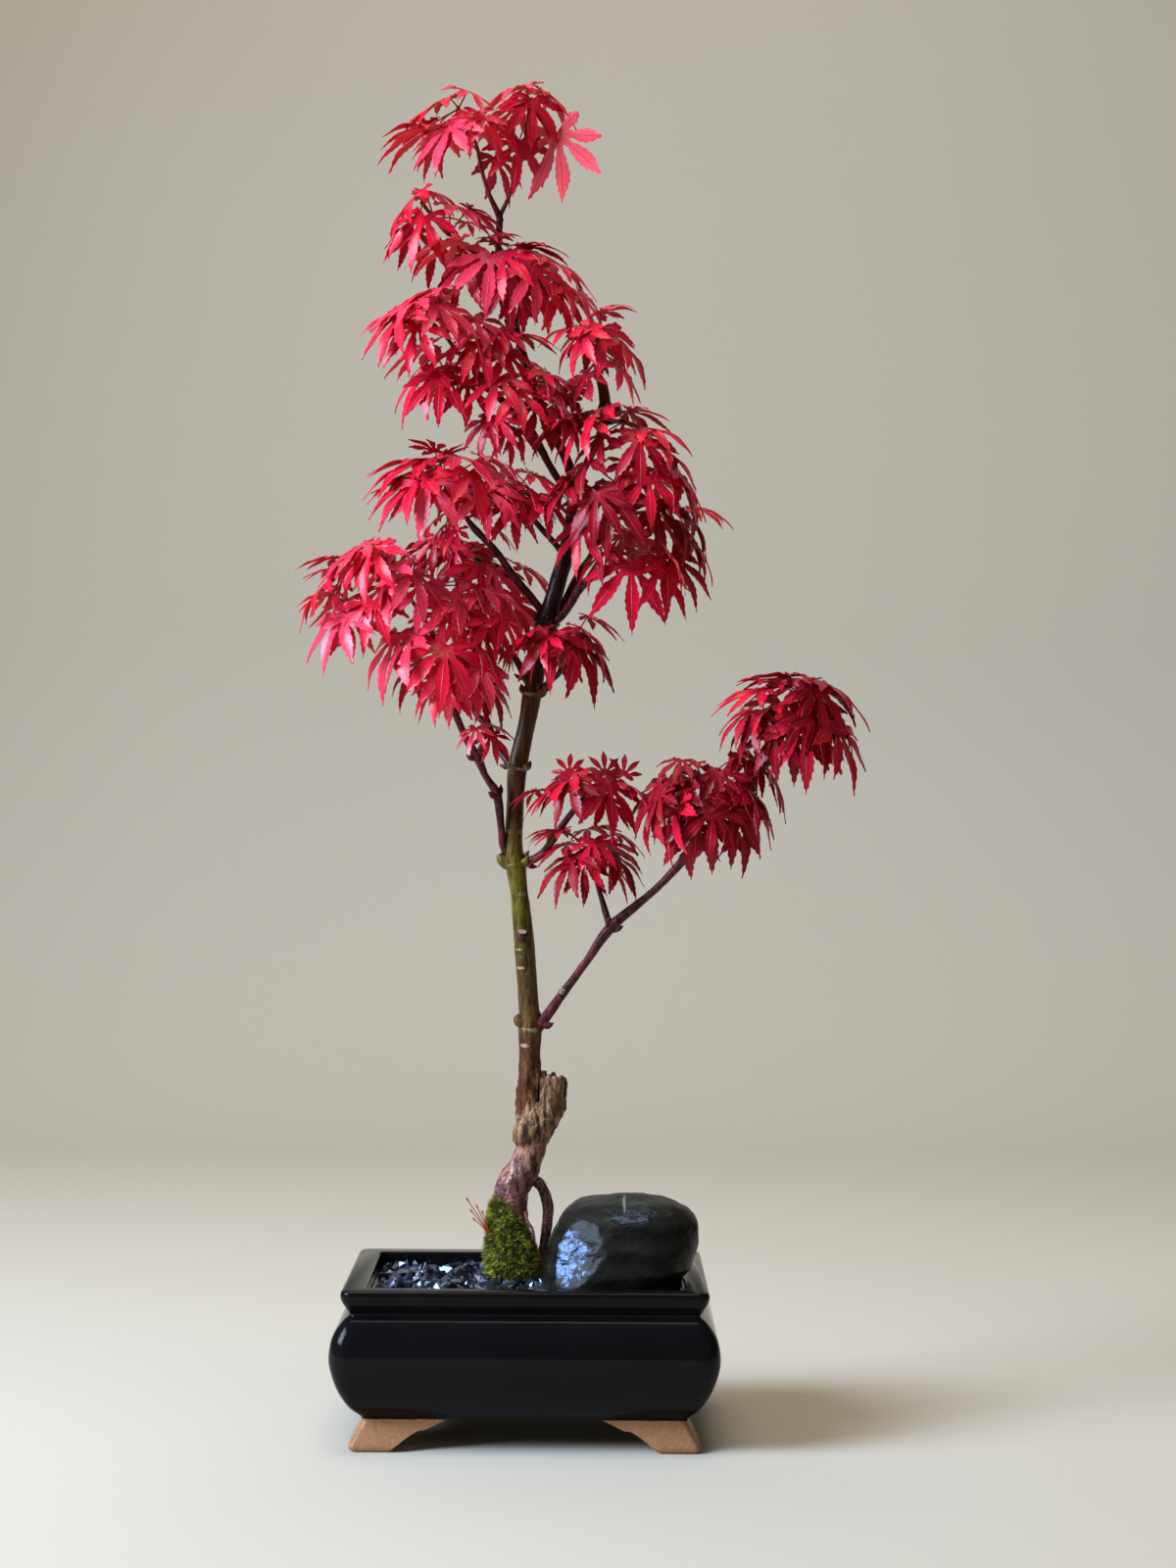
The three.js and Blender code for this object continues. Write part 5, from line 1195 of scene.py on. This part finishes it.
def make_gravel(works):
    pick = random.Random(SEEDS["gravel"])
    material = gravel_paint()
    heights = [SOIL_TOP + CLEARANCE, STONE[0][0], GRAVEL["bed"]]
    rings = [pot_ring(z, read_off(POT_INSIDE, z)[0] + CLEARANCE) for z in heights]
    bed = face_out(loft("gravel_bed", rings))
    bed.data.materials.append(material)
    half_x = POT["length"] / 2 - GRAVEL["edge"]
    half_y = POT["depth"] / 2 - GRAVEL["edge"]
    moss_reach = MOSS["radius"] - GRAVEL["under_moss"]
    chips, laid = [], {}
    for _ in range(GRAVEL["tries"]):
        size = pick.choice(GRAVEL["sizes"])
        x = pick.uniform(-half_x + size, half_x - size)
        y = pick.uniform(-half_y + size, half_y - size)
        if in_stone(x, y, GRAVEL["under_stone"]) or math.hypot(x - MOSS["x"], y - MOSS["y"]) < moss_reach:
            continue
        column, row = int(x // CELL), int(y // CELL)
        cells = [(column + i, row + j) for i in (-1, 0, 1) for j in (-1, 0, 1)]
        others = [chip for cell in cells for chip in laid.get(cell, [])]
        if any(math.hypot(x - u, y - v) < GRAVEL["near"] * (size + other) for u, v, other in others):
            continue
        laid.setdefault((column, row), []).append((x, y, size))
        spot = place(x, y, GRAVEL["bed"] + pick.uniform(GRAVEL["sunk"], GRAVEL["raised"]))
        turn = random_turn(pick)
        chips.append((spot, turn, size, pick.randrange(CHIP_KINDS), pick.random() ** 2))
    scatter = scattered("gravel_chips", chips, works, chip_shapes(), material)
    return finish_piece(joined("gravel_chips", scatter, bed), "gravel")


def moss_ring(climb):
    """A ring of the moss between its foot and its slanting upper edge, where it thins out."""
    trunk_rows = [(z, x, y, radius) for x, y, z, radius in TRUNK]
    ring = []
    for angle in angles(MOSS_SIDES):
        out = outward(angle)
        facing = 0.5 + 0.5 * math.cos(angle - math.radians(MOSS["high_side"]))
        top = lerp(MOSS["low"], MOSS["high"], facing) + MOSS_RAGGED * noise.noise(out * 2.5)
        z = lerp(MOSS["foot"], top, climb)
        x, y, trunk = read_off(trunk_rows, z)
        lump = lumps(Vector((x, y, z)) / 6 + out * 2, 3)
        depth = MOSS["depth"] * (1 - climb**3) ** 0.6 * (0.7 + 0.5 * math.sin(math.pi * climb**0.7))
        radius = trunk + depth - 0.9 * climb**6 + MOSS_LUMPS * lump * (1 - climb**4)
        ring.append((x + radius * out.x, y + radius * out.y, z))
    return ring


def moss_works():
    """Short shoots standing on a mound of moss, more or less upright."""
    works = Works("moss shoots", [
        ("Shapes", "Collection"), ("Spacing", "Float"), ("Surface", "Material"), ("Seed", "Int"),
    ])
    mound = works.entry["Geometry"]
    spots = works.node(
        "GeometryNodeDistributePointsOnFaces", {"distribute_method": "POISSON"},
        {
            "Mesh": mound, "Distance Min": works.entry["Spacing"], "Density Max": MOST_SHOOTS,
            "Seed": works.entry["Seed"],
        },
    )
    size, tone = (
        works.step(
            "FunctionNodeRandomValue", {"data_type": "FLOAT"}, {2: least, 3: most, "Seed": seed}, 1
        )
        for (least, most), seed in ((SHOOT_SIZES, 2), (SHOOT_TONES, 5))
    )
    marked = works.step(
        "GeometryNodeStoreNamedAttribute", {"data_type": "FLOAT"},
        {"Geometry": spots.outputs["Points"], "Name": "tone", "Value": tone},
    )
    shoots = works.set_out(marked, {"Rotation": spots.outputs["Rotation"], "Scale": size})
    both = works.node("GeometryNodeJoinGeometry")
    works.tree.links.new(mound, both.inputs[0])
    works.tree.links.new(shoots, both.inputs[0])
    return works.finish(both.outputs[0])


def shoot_shapes():
    """Small tufts of pointed moss leaves, a millimetre or two tall."""
    pick = random.Random(SEEDS["shoots"])
    shapes = bpy.data.collections.new("shoots")
    for k in range(SHOOT_KINDS):
        points, faces = [], []
        for blade in range(SHOOT_LEAVES):
            angle = TURN * (blade + pick.random()) / SHOOT_LEAVES
            lean = pick.uniform(*SHOOT_LEAN)
            tall = pick.uniform(*SHOOT_HEIGHT)
            out = outward(angle)
            side = Vector((-out.y, out.x, 0))
            start = len(points)
            points += [
                out * 0.1 - side * 0.22, out * 0.1 + side * 0.22, out * 0.38,
                out * lean + Vector((0, 0, tall)),
            ]
            faces += [
                (start, start + 1, start + 3), (start + 1, start + 2, start + 3),
                (start + 2, start, start + 3), (start, start + 2, start + 1),
            ]
        mesh = mesh_of(f"shoot_{k}", [point * MM for point in points], faces)
        shapes.objects.link(bpy.data.objects.new(f"shoot_{k}", mesh))
    return shapes


def make_moss(stem_tree):
    rings = [moss_ring(k / MOSS_RINGS) for k in range(MOSS_RINGS + 1)]
    mound = face_out(loft("moss_cushion", rings))
    give(mound.data, "tone", "FLOAT", [0.0] * len(mound.data.vertices))
    grow(
        mound, moss_works(), Shapes=shoot_shapes(), Spacing=SHOOT_SPACING * MM, Surface=moss_paint(),
        Seed=SEEDS["moss"],
    )
    lines = []
    for tip in SPORE_TIPS:
        foot, head = Vector(SPORE_FOOT), Vector(tip)
        bow = foot.lerp(head, 0.5) + Vector(SPORE_BOW)
        beak = head + (head - foot).normalized() * SPORE_BEAK
        spots = [foot, bow, foot.lerp(head, SPORE_NECK), head, beak]
        lines.append([(*spot, radius, 0) for spot, radius in zip(spots, SPORE_RADII)])
    stalks = stems("spore_stalks", lines, stem_tree, spore_paint(), sides=6, step=0.7)
    return finish_piece(joined("moss_cushion", mound, stalks), "moss")


# ---- Wood ----

def stem_works():
    """Tubes along smooth lines through joints, which carry the radius, with roughened bark."""
    works = Works("stems", [
        ("Step", "Float"), ("Sides", "Int"), ("Bark depth", "Float"), ("Surface", "Material"),
    ])
    line = works.step("GeometryNodeMeshToCurve", None, {"Mesh": works.entry["Geometry"]})
    line = works.step("GeometryNodeCurveSplineType", {"spline_type": "CATMULL_ROM"}, {"Curve": line})
    line = works.step("GeometryNodeSetSplineResolution", None, {"Geometry": line, "Resolution": 8})
    line = works.step(
        "GeometryNodeResampleCurve", {"mode": "LENGTH"},
        {"Curve": line, "Length": works.entry["Step"]},
    )
    line = works.step(
        "GeometryNodeSetCurveRadius", None,
        {"Curve": line, "Radius": Wire(works, works.named("girth")) * MM},
    )
    section = works.step(
        "GeometryNodeCurvePrimitiveCircle", None, {"Resolution": works.entry["Sides"], "Radius": 1.0}
    )
    sweep = works.node(
        "GeometryNodeCurveToMesh", None, {"Curve": line, "Profile Curve": section, "Fill Caps": True}
    )
    if "Scale" in sweep.inputs:
        works.feed(sweep.inputs["Scale"], works.step("GeometryNodeInputRadius"))
    along = works.step(
        "ShaderNodeVectorMath", {"operation": "MULTIPLY"},
        {0: works.step("GeometryNodeInputPosition"), 1: (1.0, 1.0, 0.4)},
    )
    coarse, fine = (
        works.wire("ShaderNodeTexNoise", 0, None, {"Vector": along, "Scale": scale, "Detail": 2.0})
        * share
        for scale, share in BARK_GRAIN.values()
    )
    grain = coarse + fine - 0.5
    height = grain * Wire(works, works.named("rough")) * Wire(works, works.entry["Bark depth"])
    offset = works.step(
        "ShaderNodeVectorMath", {"operation": "SCALE"},
        {0: works.step("GeometryNodeInputNormal"), "Scale": height},
    )
    moved = works.step(
        "GeometryNodeSetPosition", None, {"Geometry": sweep.outputs[0], "Offset": offset}
    )
    return works.finish(works.step("GeometryNodeSetShadeSmooth", None, {"Geometry": moved}))


def stems(name, lines, works, material, sides, step, depth=BARK_DEPTH):
    """One mesh of stems. A joint has x, y, z, radius, roughness and the radius of the wood it is on."""
    points, edges, girth, rough, wood = [], [], [], [], []
    for line in lines:
        start = len(points)
        points += [place(*joint[:3]) for joint in line]
        edges += [(start + i, start + i + 1) for i in range(len(line) - 1)]
        girth += [joint[3] for joint in line]
        rough += [joint[4] if len(joint) > 4 else SMOOTH_RELIEF for joint in line]
        wood += [joint[5] if len(joint) > 5 else joint[3] for joint in line]
    mesh = mesh_of(name, points, (), edges)
    for label, values in (("girth", girth), ("rough", rough), ("wood", wood)):
        give(mesh, label, "FLOAT", values)
    piece = object_of(name, mesh)
    return grow(piece, works, Step=step * MM, Sides=sides, Bark_depth=depth * MM, Surface=material)


def bark_roughness(z):
    """The bark's relief in millimetres at a height of the trunk."""
    return next(rough for top, rough in BARK_RELIEF if z < top)


def buds():
    """A pair of short buds at each swollen joint of the branches."""
    pick = random.Random(SEEDS["buds"])
    found = []
    for name, joints in {"trunk": TRUNK[12:], **LIMBS}.items():
        if name.startswith("graft") or name == "aerial_root":
            continue
        for before, joint, after in zip(joints, joints[1:], joints[2:]):
            if joint[3] < SWOLLEN * max(before[3], after[3]):
                continue
            spot, radius = Vector(joint[:3]), joint[3]
            along = (Vector(after[:3]) - Vector(before[:3])).normalized()
            out = along.cross(Vector((pick.uniform(-1, 1), pick.uniform(-1, 1), 0.3))).normalized()
            found.append([
                (*(spot + run * BUDS["ring"] * along), girth * radius, 0.5, radius)
                for run, girth in zip((-1, 0, 1), BUDS["girths"])
            ])
            bud = min(BUDS["widest"], BUDS["girth"] * radius)
            for side in (out, -out):
                middle, tip = (
                    spot + side * (radius + out_by) + along * along_by
                    for out_by, along_by in (BUDS["middle"], BUDS["tip"])
                )
                found.append([
                    (*spot, bud, 0.3, radius), (*middle, bud, 0.3, radius), (*tip, 0.3, 0.1, radius),
                ])
    return found


def make_trunk(works, bark):
    lines = [[(x, y, z, r, bark_roughness(z)) for x, y, z, r in TRUNK]]
    for name, joints in LIMBS.items():
        rough = LIMB_RELIEF.get(name, YOUNG_RELIEF)
        lines.append([(x, y, z, r, rough) for x, y, z, r in joints])
    lines += buds()
    for x, y, tall, reach in GRAFT_SPLINTERS:
        foot, bend = (x, y, *SPLINTER_FOOT), (x, y, *SPLINTER_BEND)
        lines.append([foot, bend, (x + reach, y, tall, *SPLINTER_TIP)])
    lines += [[(*joint, 0) for joint in hair] for hair in ROOT_HAIRS]
    lines += [[(*joint, 0.8, knob[0][3]) for joint in knob] for knob in KNOBS]
    trunk = stems("woody_frame", lines, works, bark, sides=36, step=0.9)
    return finish_piece(trunk, "trunk")


# ---- Leafy sprays ----

def leaf_blade(name, droop, pick):
    """A thin arched blade one millimetre long, cut into toothed lobes folded along their ribs."""
    lobes = [
        [angle + pick.uniform(*LOBE_VARIES["angle"]), reach * pick.uniform(*LOBE_VARIES["length"])]
        for angle, reach in LOBES
    ]
    lobes[len(lobes) // 2] = [pick.uniform(*LOBE_VARIES["middle"]), 1]
    middles = [(a[0] + b[0]) / 2 for a, b in zip(lobes, lobes[1:])]
    notches = [-OUTER_NOTCH, *middles, OUTER_NOTCH]
    points, faces, uvs, under = [], [], [], []

    def put(degrees, reach, aside, lift, u, v, below):
        angle = math.radians(degrees) + math.atan2(aside, reach)
        radius = math.hypot(reach, aside)
        flat = math.sin(droop * radius) / droop
        sag = (1 - math.cos(droop * radius)) / droop
        points.append(Vector((flat * math.cos(angle), flat * math.sin(angle), lift - sag)) * MM)
        uvs.append((u, v))
        under.append(below)
        return len(points) - 1

    near_hub = (0.5 * NOTCH, NOTCH)
    shared = {}

    def on_ray(k, reach, below):
        """A point on the line between two lobes, near the hub."""
        key = (k, reach, below)
        if key not in shared:
            lift = WEB_LIFT - BLADE_THICKNESS * below
            shared[key] = put(notches[k], reach, 0, lift, 1.0, reach, below)
        return shared[key]

    hubs = [put(0, 0, 0, -BLADE_THICKNESS * below, 0.5, 0, below) for below in (0, 1)]
    for k, (angle, reach) in enumerate(lobes):
        steps = max(LOBE_STEPS["least"], round(LOBE_STEPS["most"] * reach))
        twist = pick.uniform(*LOBE_VARIES["twist"])
        wave = pick.uniform(0, ROUND)
        rows = []
        for below in (0, 1):
            drop = BLADE_THICKNESS * below
            row = [(hubs[below],) * 3]
            for near in near_hub:
                row.append((
                    on_ray(k, near, below), put(angle, near, 0, -drop, 0.5, near, below),
                    on_ray(k + 1, near, below),
                ))
            for step in range(1, steps + 1):
                share = step / steps
                along = lerp(NOTCH, reach, share)
                width = LOBE_WIDTH * lerp(SHORT_LOBE, 1, reach) * read_off(LOBE_OUTLINE, share)[0]
                tooth = TOOTH if step % 2 and TEETH[0] < share < TEETH[1] else TOOTH_DENT
                ahead = TOOTH_AHEAD if step % 2 else 0
                ripple = LOBE_RIPPLE["height"] * math.sin(wave + LOBE_RIPPLE["pitch"] * share)
                fold = FOLD * width + ripple
                lean = twist * width * share
                side = max(width + tooth, LEAST_SIDE)
                row.append((
                    put(angle, along + ahead, -side, fold - lean - drop, 0, along, below),
                    put(angle, along, 0, -drop, 0.5, along, below),
                    put(angle, along + ahead, side, fold + lean - drop, 1, along, below),
                ))
            rows.append(row)
        top, bottom = rows
        for i in range(len(top) - 1):
            (a, b, c), (d, e, f) = top[i], top[i + 1]
            (p, q, r), (s, t, v) = bottom[i], bottom[i + 1]
            if i == 0:
                faces += [(b, d, e), (b, e, f), (q, t, s), (q, v, t)]
            else:
                faces += [(a, d, e, b), (b, e, f, c), (q, t, s, p), (r, v, t, q)]
            if i > 1:
                faces += [(d, a, p, s), (c, f, v, r)]
        faces += [(top[-1][0], bottom[-1][0], bottom[-1][1], top[-1][1])]
        faces += [(top[-1][1], bottom[-1][1], bottom[-1][2], top[-1][2])]
    for k, side in ((0, 0), (len(lobes), 1)):
        a, b = ([hubs[below], *(on_ray(k, near, below) for near in near_hub)] for below in (0, 1))
        for i in range(2):
            face = (a[i], a[i + 1], b[i + 1], b[i])
            faces.append(face if side else tuple(reversed(face)))
    mesh = mesh_of(name, points, faces)
    layer = mesh.uv_layers.new(name="blade")
    for loop in mesh.loops:
        layer.data[loop.index].uv = uvs[loop.vertex_index]
    give(mesh, "under", "FLOAT", [float(value) for value in under])
    mesh.shade_smooth()
    mesh.set_sharp_from_angle(angle=math.radians(SHARP["blade"]))
    blade = bpy.data.objects.new(name, mesh)
    return face_out(blade)


def leaf_shapes():
    pick = random.Random(SEEDS["blades"])
    shapes = bpy.data.collections.new("leaves")
    for k, droop in enumerate(DROOPS):
        for twin in range(TWINS):
            shapes.objects.link(leaf_blade(f"leaf_{TWINS * k + twin:02d}", droop, pick))
    return shapes


def leaf_axes(heading, tilt, roll):
    """The blade's turn: along its middle lobe, across it and out of its upper face."""
    turn, dip = math.radians(heading), math.radians(tilt)
    along = Vector((math.cos(turn) * math.cos(dip), math.sin(turn) * math.cos(dip), -math.sin(dip)))
    across = Vector((-math.sin(turn), math.cos(turn), 0))
    across.rotate(Quaternion(along, roll))
    up = along.cross(across)
    return along, across, up


def twig_lines(limb, twigs):
    """A spray's twigs, which go on from the end of their limb."""
    joints = TRUNK if limb == "trunk" else LIMBS[limb]
    end, radius = Vector(joints[-1][:3]), joints[-1][3]
    before = Vector(smooth_line([joint[:3] for joint in joints], 1 - 0.2 / len(joints)))
    along = (end - before).normalized()
    lines = []
    girths = TWIG_GIRTHS
    for k, places in enumerate(twigs):
        out = girths["others"] if k else girths["first"]
        line = [(*(end - along), radius * girths["in_limb"]), (*(end + 2 * along), radius * out)]
        for i, spot in enumerate(places):
            line.append((*spot, TWIG_RADIUS * (girths["start"] - girths["taper"] * i)))
        lines.append(line)
    return lines


def stalk_joints(lines):
    """Where leaf stalks can start: a little below every joint of the twigs."""
    found = []
    for line in lines:
        for before, joint in zip(line[1:], line[2:]):
            back = (Vector(before[:3]) - Vector(joint[:3])).normalized()
            found.append(Vector(joint[:3]) + back * STALK_ROOT)
    return found


def stalk(joint, hub, up, pick):
    """A thin leaf stalk, gently arched, thicker where it leaves the twig."""
    waver = STALK_MIDDLE["waver"]
    middle = joint.lerp(hub, STALK_MIDDLE["share"])
    middle += Vector((0, 0, STALK_MIDDLE["arch"])) * (hub - joint).length
    middle += Vector([pick.uniform(-waver, waver) for _ in range(3)])
    end = hub - up * STALK_SUNK
    before, after = joint.lerp(middle, STALK_MIDDLE["before"]), end.lerp(middle, STALK_MIDDLE["after"])
    spots = [joint, before, middle, after, end]
    return [(*spot, STALK_RADIUS * girth) for spot, girth in zip(spots, STALK_GIRTHS)]


def seeded(seed):
    """The repeatable random numbers that the leaves of the solids are bent and rolled by."""
    state = seed
    while True:
        state = (state * 1664525 + 1013904223) % 2**32
        yield state / 2**32


def bent_leaves(leaves, draws):
    """The listed leaves, each with its droop and its roll."""
    bent = []
    for x, y, z, length, heading, tilt, *turned in leaves:
        length = max(length, LEAST_LEAF)
        droop = lerp(DROOPS[0], DROOPS[-1], next(draws))
        roll = 0.5 * (next(draws) - 0.5)
        if turned:
            roll = math.radians(turned[0])
        bent.append([Vector((x, y, z)), length, heading, tilt, droop, roll])
    return bent


def companions(leaves, pick):
    """Smaller leaves beside the listed ones, which fill the spray as the paired buds do."""
    more = []
    for hub, length, heading, tilt, droop, roll in leaves:
        if pick.random() > COMPANIONS:
            continue
        inward = math.copysign(1, PLANT_MIDDLE - hub.x)
        aside, back, up = (pick.uniform(*COMPANION[way]) for way in ("inward", "back", "up"))
        spot = hub + Vector((aside * inward, back, up))
        dip = min(tilt + pick.uniform(*COMPANION["tilt"]), MOST_DIP)
        length = length * pick.uniform(*COMPANION["size"])
        more.append([spot, length, heading + pick.uniform(*COMPANION["heading"]), dip, droop, -roll])
    return more


def make_spray(name, limb, twigs, leaves, draws, tools):
    """A leafy spray: its twigs, the leaf stalks and the blades."""
    scatter, stem_tree, shapes, leaf, bark = tools
    pick = random.Random(name)
    lines = twig_lines(limb, twigs)
    joints = stalk_joints(lines)
    blades, stalks = [], []
    listed = bent_leaves(leaves, draws)
    listed += bent_leaves(MORE_LEAVES.get(name, []), seeded(len(name)))
    for hub, length, heading, tilt, droop, roll in listed + companions(listed, pick):
        along, across, up = leaf_axes(heading, tilt * SPRAY_TILTS.get(name, TILT_SHARE), roll)
        joint = min(joints, key=lambda spot: abs((spot - hub).length - STALK_LENGTH))
        stalks.append(stalk(joint, hub, up, pick))
        turn = Matrix((along, across, up)).transposed().to_quaternion()
        nearest = min(range(len(DROOPS)), key=lambda k: abs(DROOPS[k] - droop))
        choice = TWINS * nearest + pick.randrange(TWINS)
        # A random tone, moved darker or paler by the spray's painted light and shade.
        tone = min(max(pick.uniform(*LEAF_TONES) + SPRAY_LIGHT_AND_SHADE.get(name, 0), 0), 1)
        blades.append((place(*hub), turn, length * LEAF_GROWTH, choice, tone))
    wood = stems(
        f"twigs_{name}", lines + stalks, stem_tree, bark, sides=10, step=1.5, depth=TWIG_DEPTH
    )
    foliage = scattered(f"leafy_{name}", blades, scatter, shapes, leaf)
    piece = joined(f"leafy_{name}", foliage, wood)
    return finish_piece(piece, f"spray_{name}")


# ---- Putting it together ----

make_pot()
scatter = scatter_works()
stem_tree = stem_works()
make_gravel(scatter)
make_stone()
make_moss(stem_tree)
bark = bark_paint()
make_trunk(stem_tree, bark)
tools = (scatter, stem_tree, leaf_shapes(), leaf_paint(), bark)
draws = seeded(SEEDS["leaves"])
for spray_name, spray in SPRAYS.items():
    make_spray(spray_name, *spray, draws, tools)

for node, material in (
    ("soil", soil_paint()),
    ("drain_screen_left", screen_paint()),
    ("drain_screen_right", screen_paint()),
):
    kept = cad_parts[node]
    kept.data.materials.clear()
    kept.data.materials.append(material)

# ---- The room, the lights and the camera, in metres ----

ROOM = {"front": -3.0, "wall": 1.7, "bend": 0.5, "steps": 12, "height": 3.4, "half_width": 3.5}
FLOOR_DROP = 0.0005  # how far the floor lies below the pot's feet
WALL_COLOUR = (0.60, 0.55, 0.46)
WALL_SHADE = 0.97  # how much darker its darker patches are
WALL_PATCH = 400  # and how wide, in millimetres
# The lamps: where each stands and looks, its width and height, its power, its colour and its spread.
LAMPS = {
    "window": [(-1.6, -0.72, 1.25), (0, 0, 0.4), (1.0, 1.3), 34, (0.72, 0.85, 1), 115],
    "sky through the window": [(-1.58, -0.7, 1.2), (0, 0, 0.3), (0.4, 0.6), 5, (0.2, 0.42, 1), 115],
    "ceiling": [(-0.1, 0.1, 2.3), (0, 0.1, 0.3), (1.6, 1.2), 26, (1, 0.90, 0.76), 180],
    "fill": [(1.9, -1.5, 0.9), (0, 0, 0.35), (1.0, 1.0), 0.8, (1, 0.95, 0.88), 180],
}
ROOM_LIGHT = {"colour": (1, 0.96, 0.9, 1), "strength": 0.11}
# The camera: its lens and sensor, where it stands in the lists' millimetres, and how far it is turned
# down and to the side, in degrees.
CAMERA = {"lens": 70, "sensor": 36, "stand": (31, -1646, 351), "down": 0.166, "turn": 0.35}


def make_room():
    """A pale floor that curves up into the wall behind."""
    bend, steps = ROOM["bend"], ROOM["steps"]
    profile = [(ROOM["front"], 0)]
    for step in range(steps + 1):
        angle = math.radians(90 * step / steps)
        profile.append((ROOM["wall"] - bend + bend * math.sin(angle), bend - bend * math.cos(angle)))
    profile.append((ROOM["wall"], ROOM["height"]))
    sides = (-ROOM["half_width"], ROOM["half_width"])
    points = [Vector((x, y, z - FLOOR_DROP)) for y, z in profile for x in sides]
    faces = [(2 * i, 2 * i + 1, 2 * i + 3, 2 * i + 2) for i in range(len(profile) - 1)]
    room = object_of("room", mesh_of("room", points, faces))
    room.data.shade_smooth()
    shaded = tuple(WALL_SHADE * channel for channel in WALL_COLOUR)
    wall = plain_paint("pale wall", 0.9, WALL_PATCH, (*WALL_COLOUR, 1), (*shaded, 1), 2)
    room.data.materials.append(wall)


def make_light(name, spot, target, size, power, colour, spread):
    lamp = bpy.data.lights.new(name, "AREA")
    lamp.shape = "RECTANGLE"
    lamp.size, lamp.size_y = size
    lamp.energy = power
    lamp.color = colour
    lamp.spread = math.radians(spread)
    light = bpy.data.objects.new(name, lamp)
    bpy.context.scene.collection.objects.link(light)
    light.location = spot
    light.rotation_euler = (Vector(target) - Vector(spot)).to_track_quat("-Z", "Y").to_euler()


make_room()
for lamp_name, lamp in LAMPS.items():
    make_light(lamp_name, *lamp)

world = bpy.data.worlds.new("room light")
world.use_nodes = True
sky = world.node_tree.nodes["Background"]
sky.inputs["Color"].default_value = ROOM_LIGHT["colour"]
sky.inputs["Strength"].default_value = ROOM_LIGHT["strength"]
bpy.context.scene.world = world
bpy.context.scene.view_settings.view_transform = "Standard"
bpy.context.scene.view_settings.look = "None"

lens = bpy.data.cameras.new("camera")
lens.lens = CAMERA["lens"]
lens.sensor_width = CAMERA["sensor"]
camera = bpy.data.objects.new("camera", lens)
bpy.context.scene.collection.objects.link(camera)
camera.matrix_world = (
    Matrix.Translation(place(*CAMERA["stand"]))
    @ Matrix.Rotation(math.radians(90 - CAMERA["down"]), 4, "X")
    @ Matrix.Rotation(math.radians(CAMERA["turn"]), 4, "Z")
)
bpy.context.scene.camera = camera
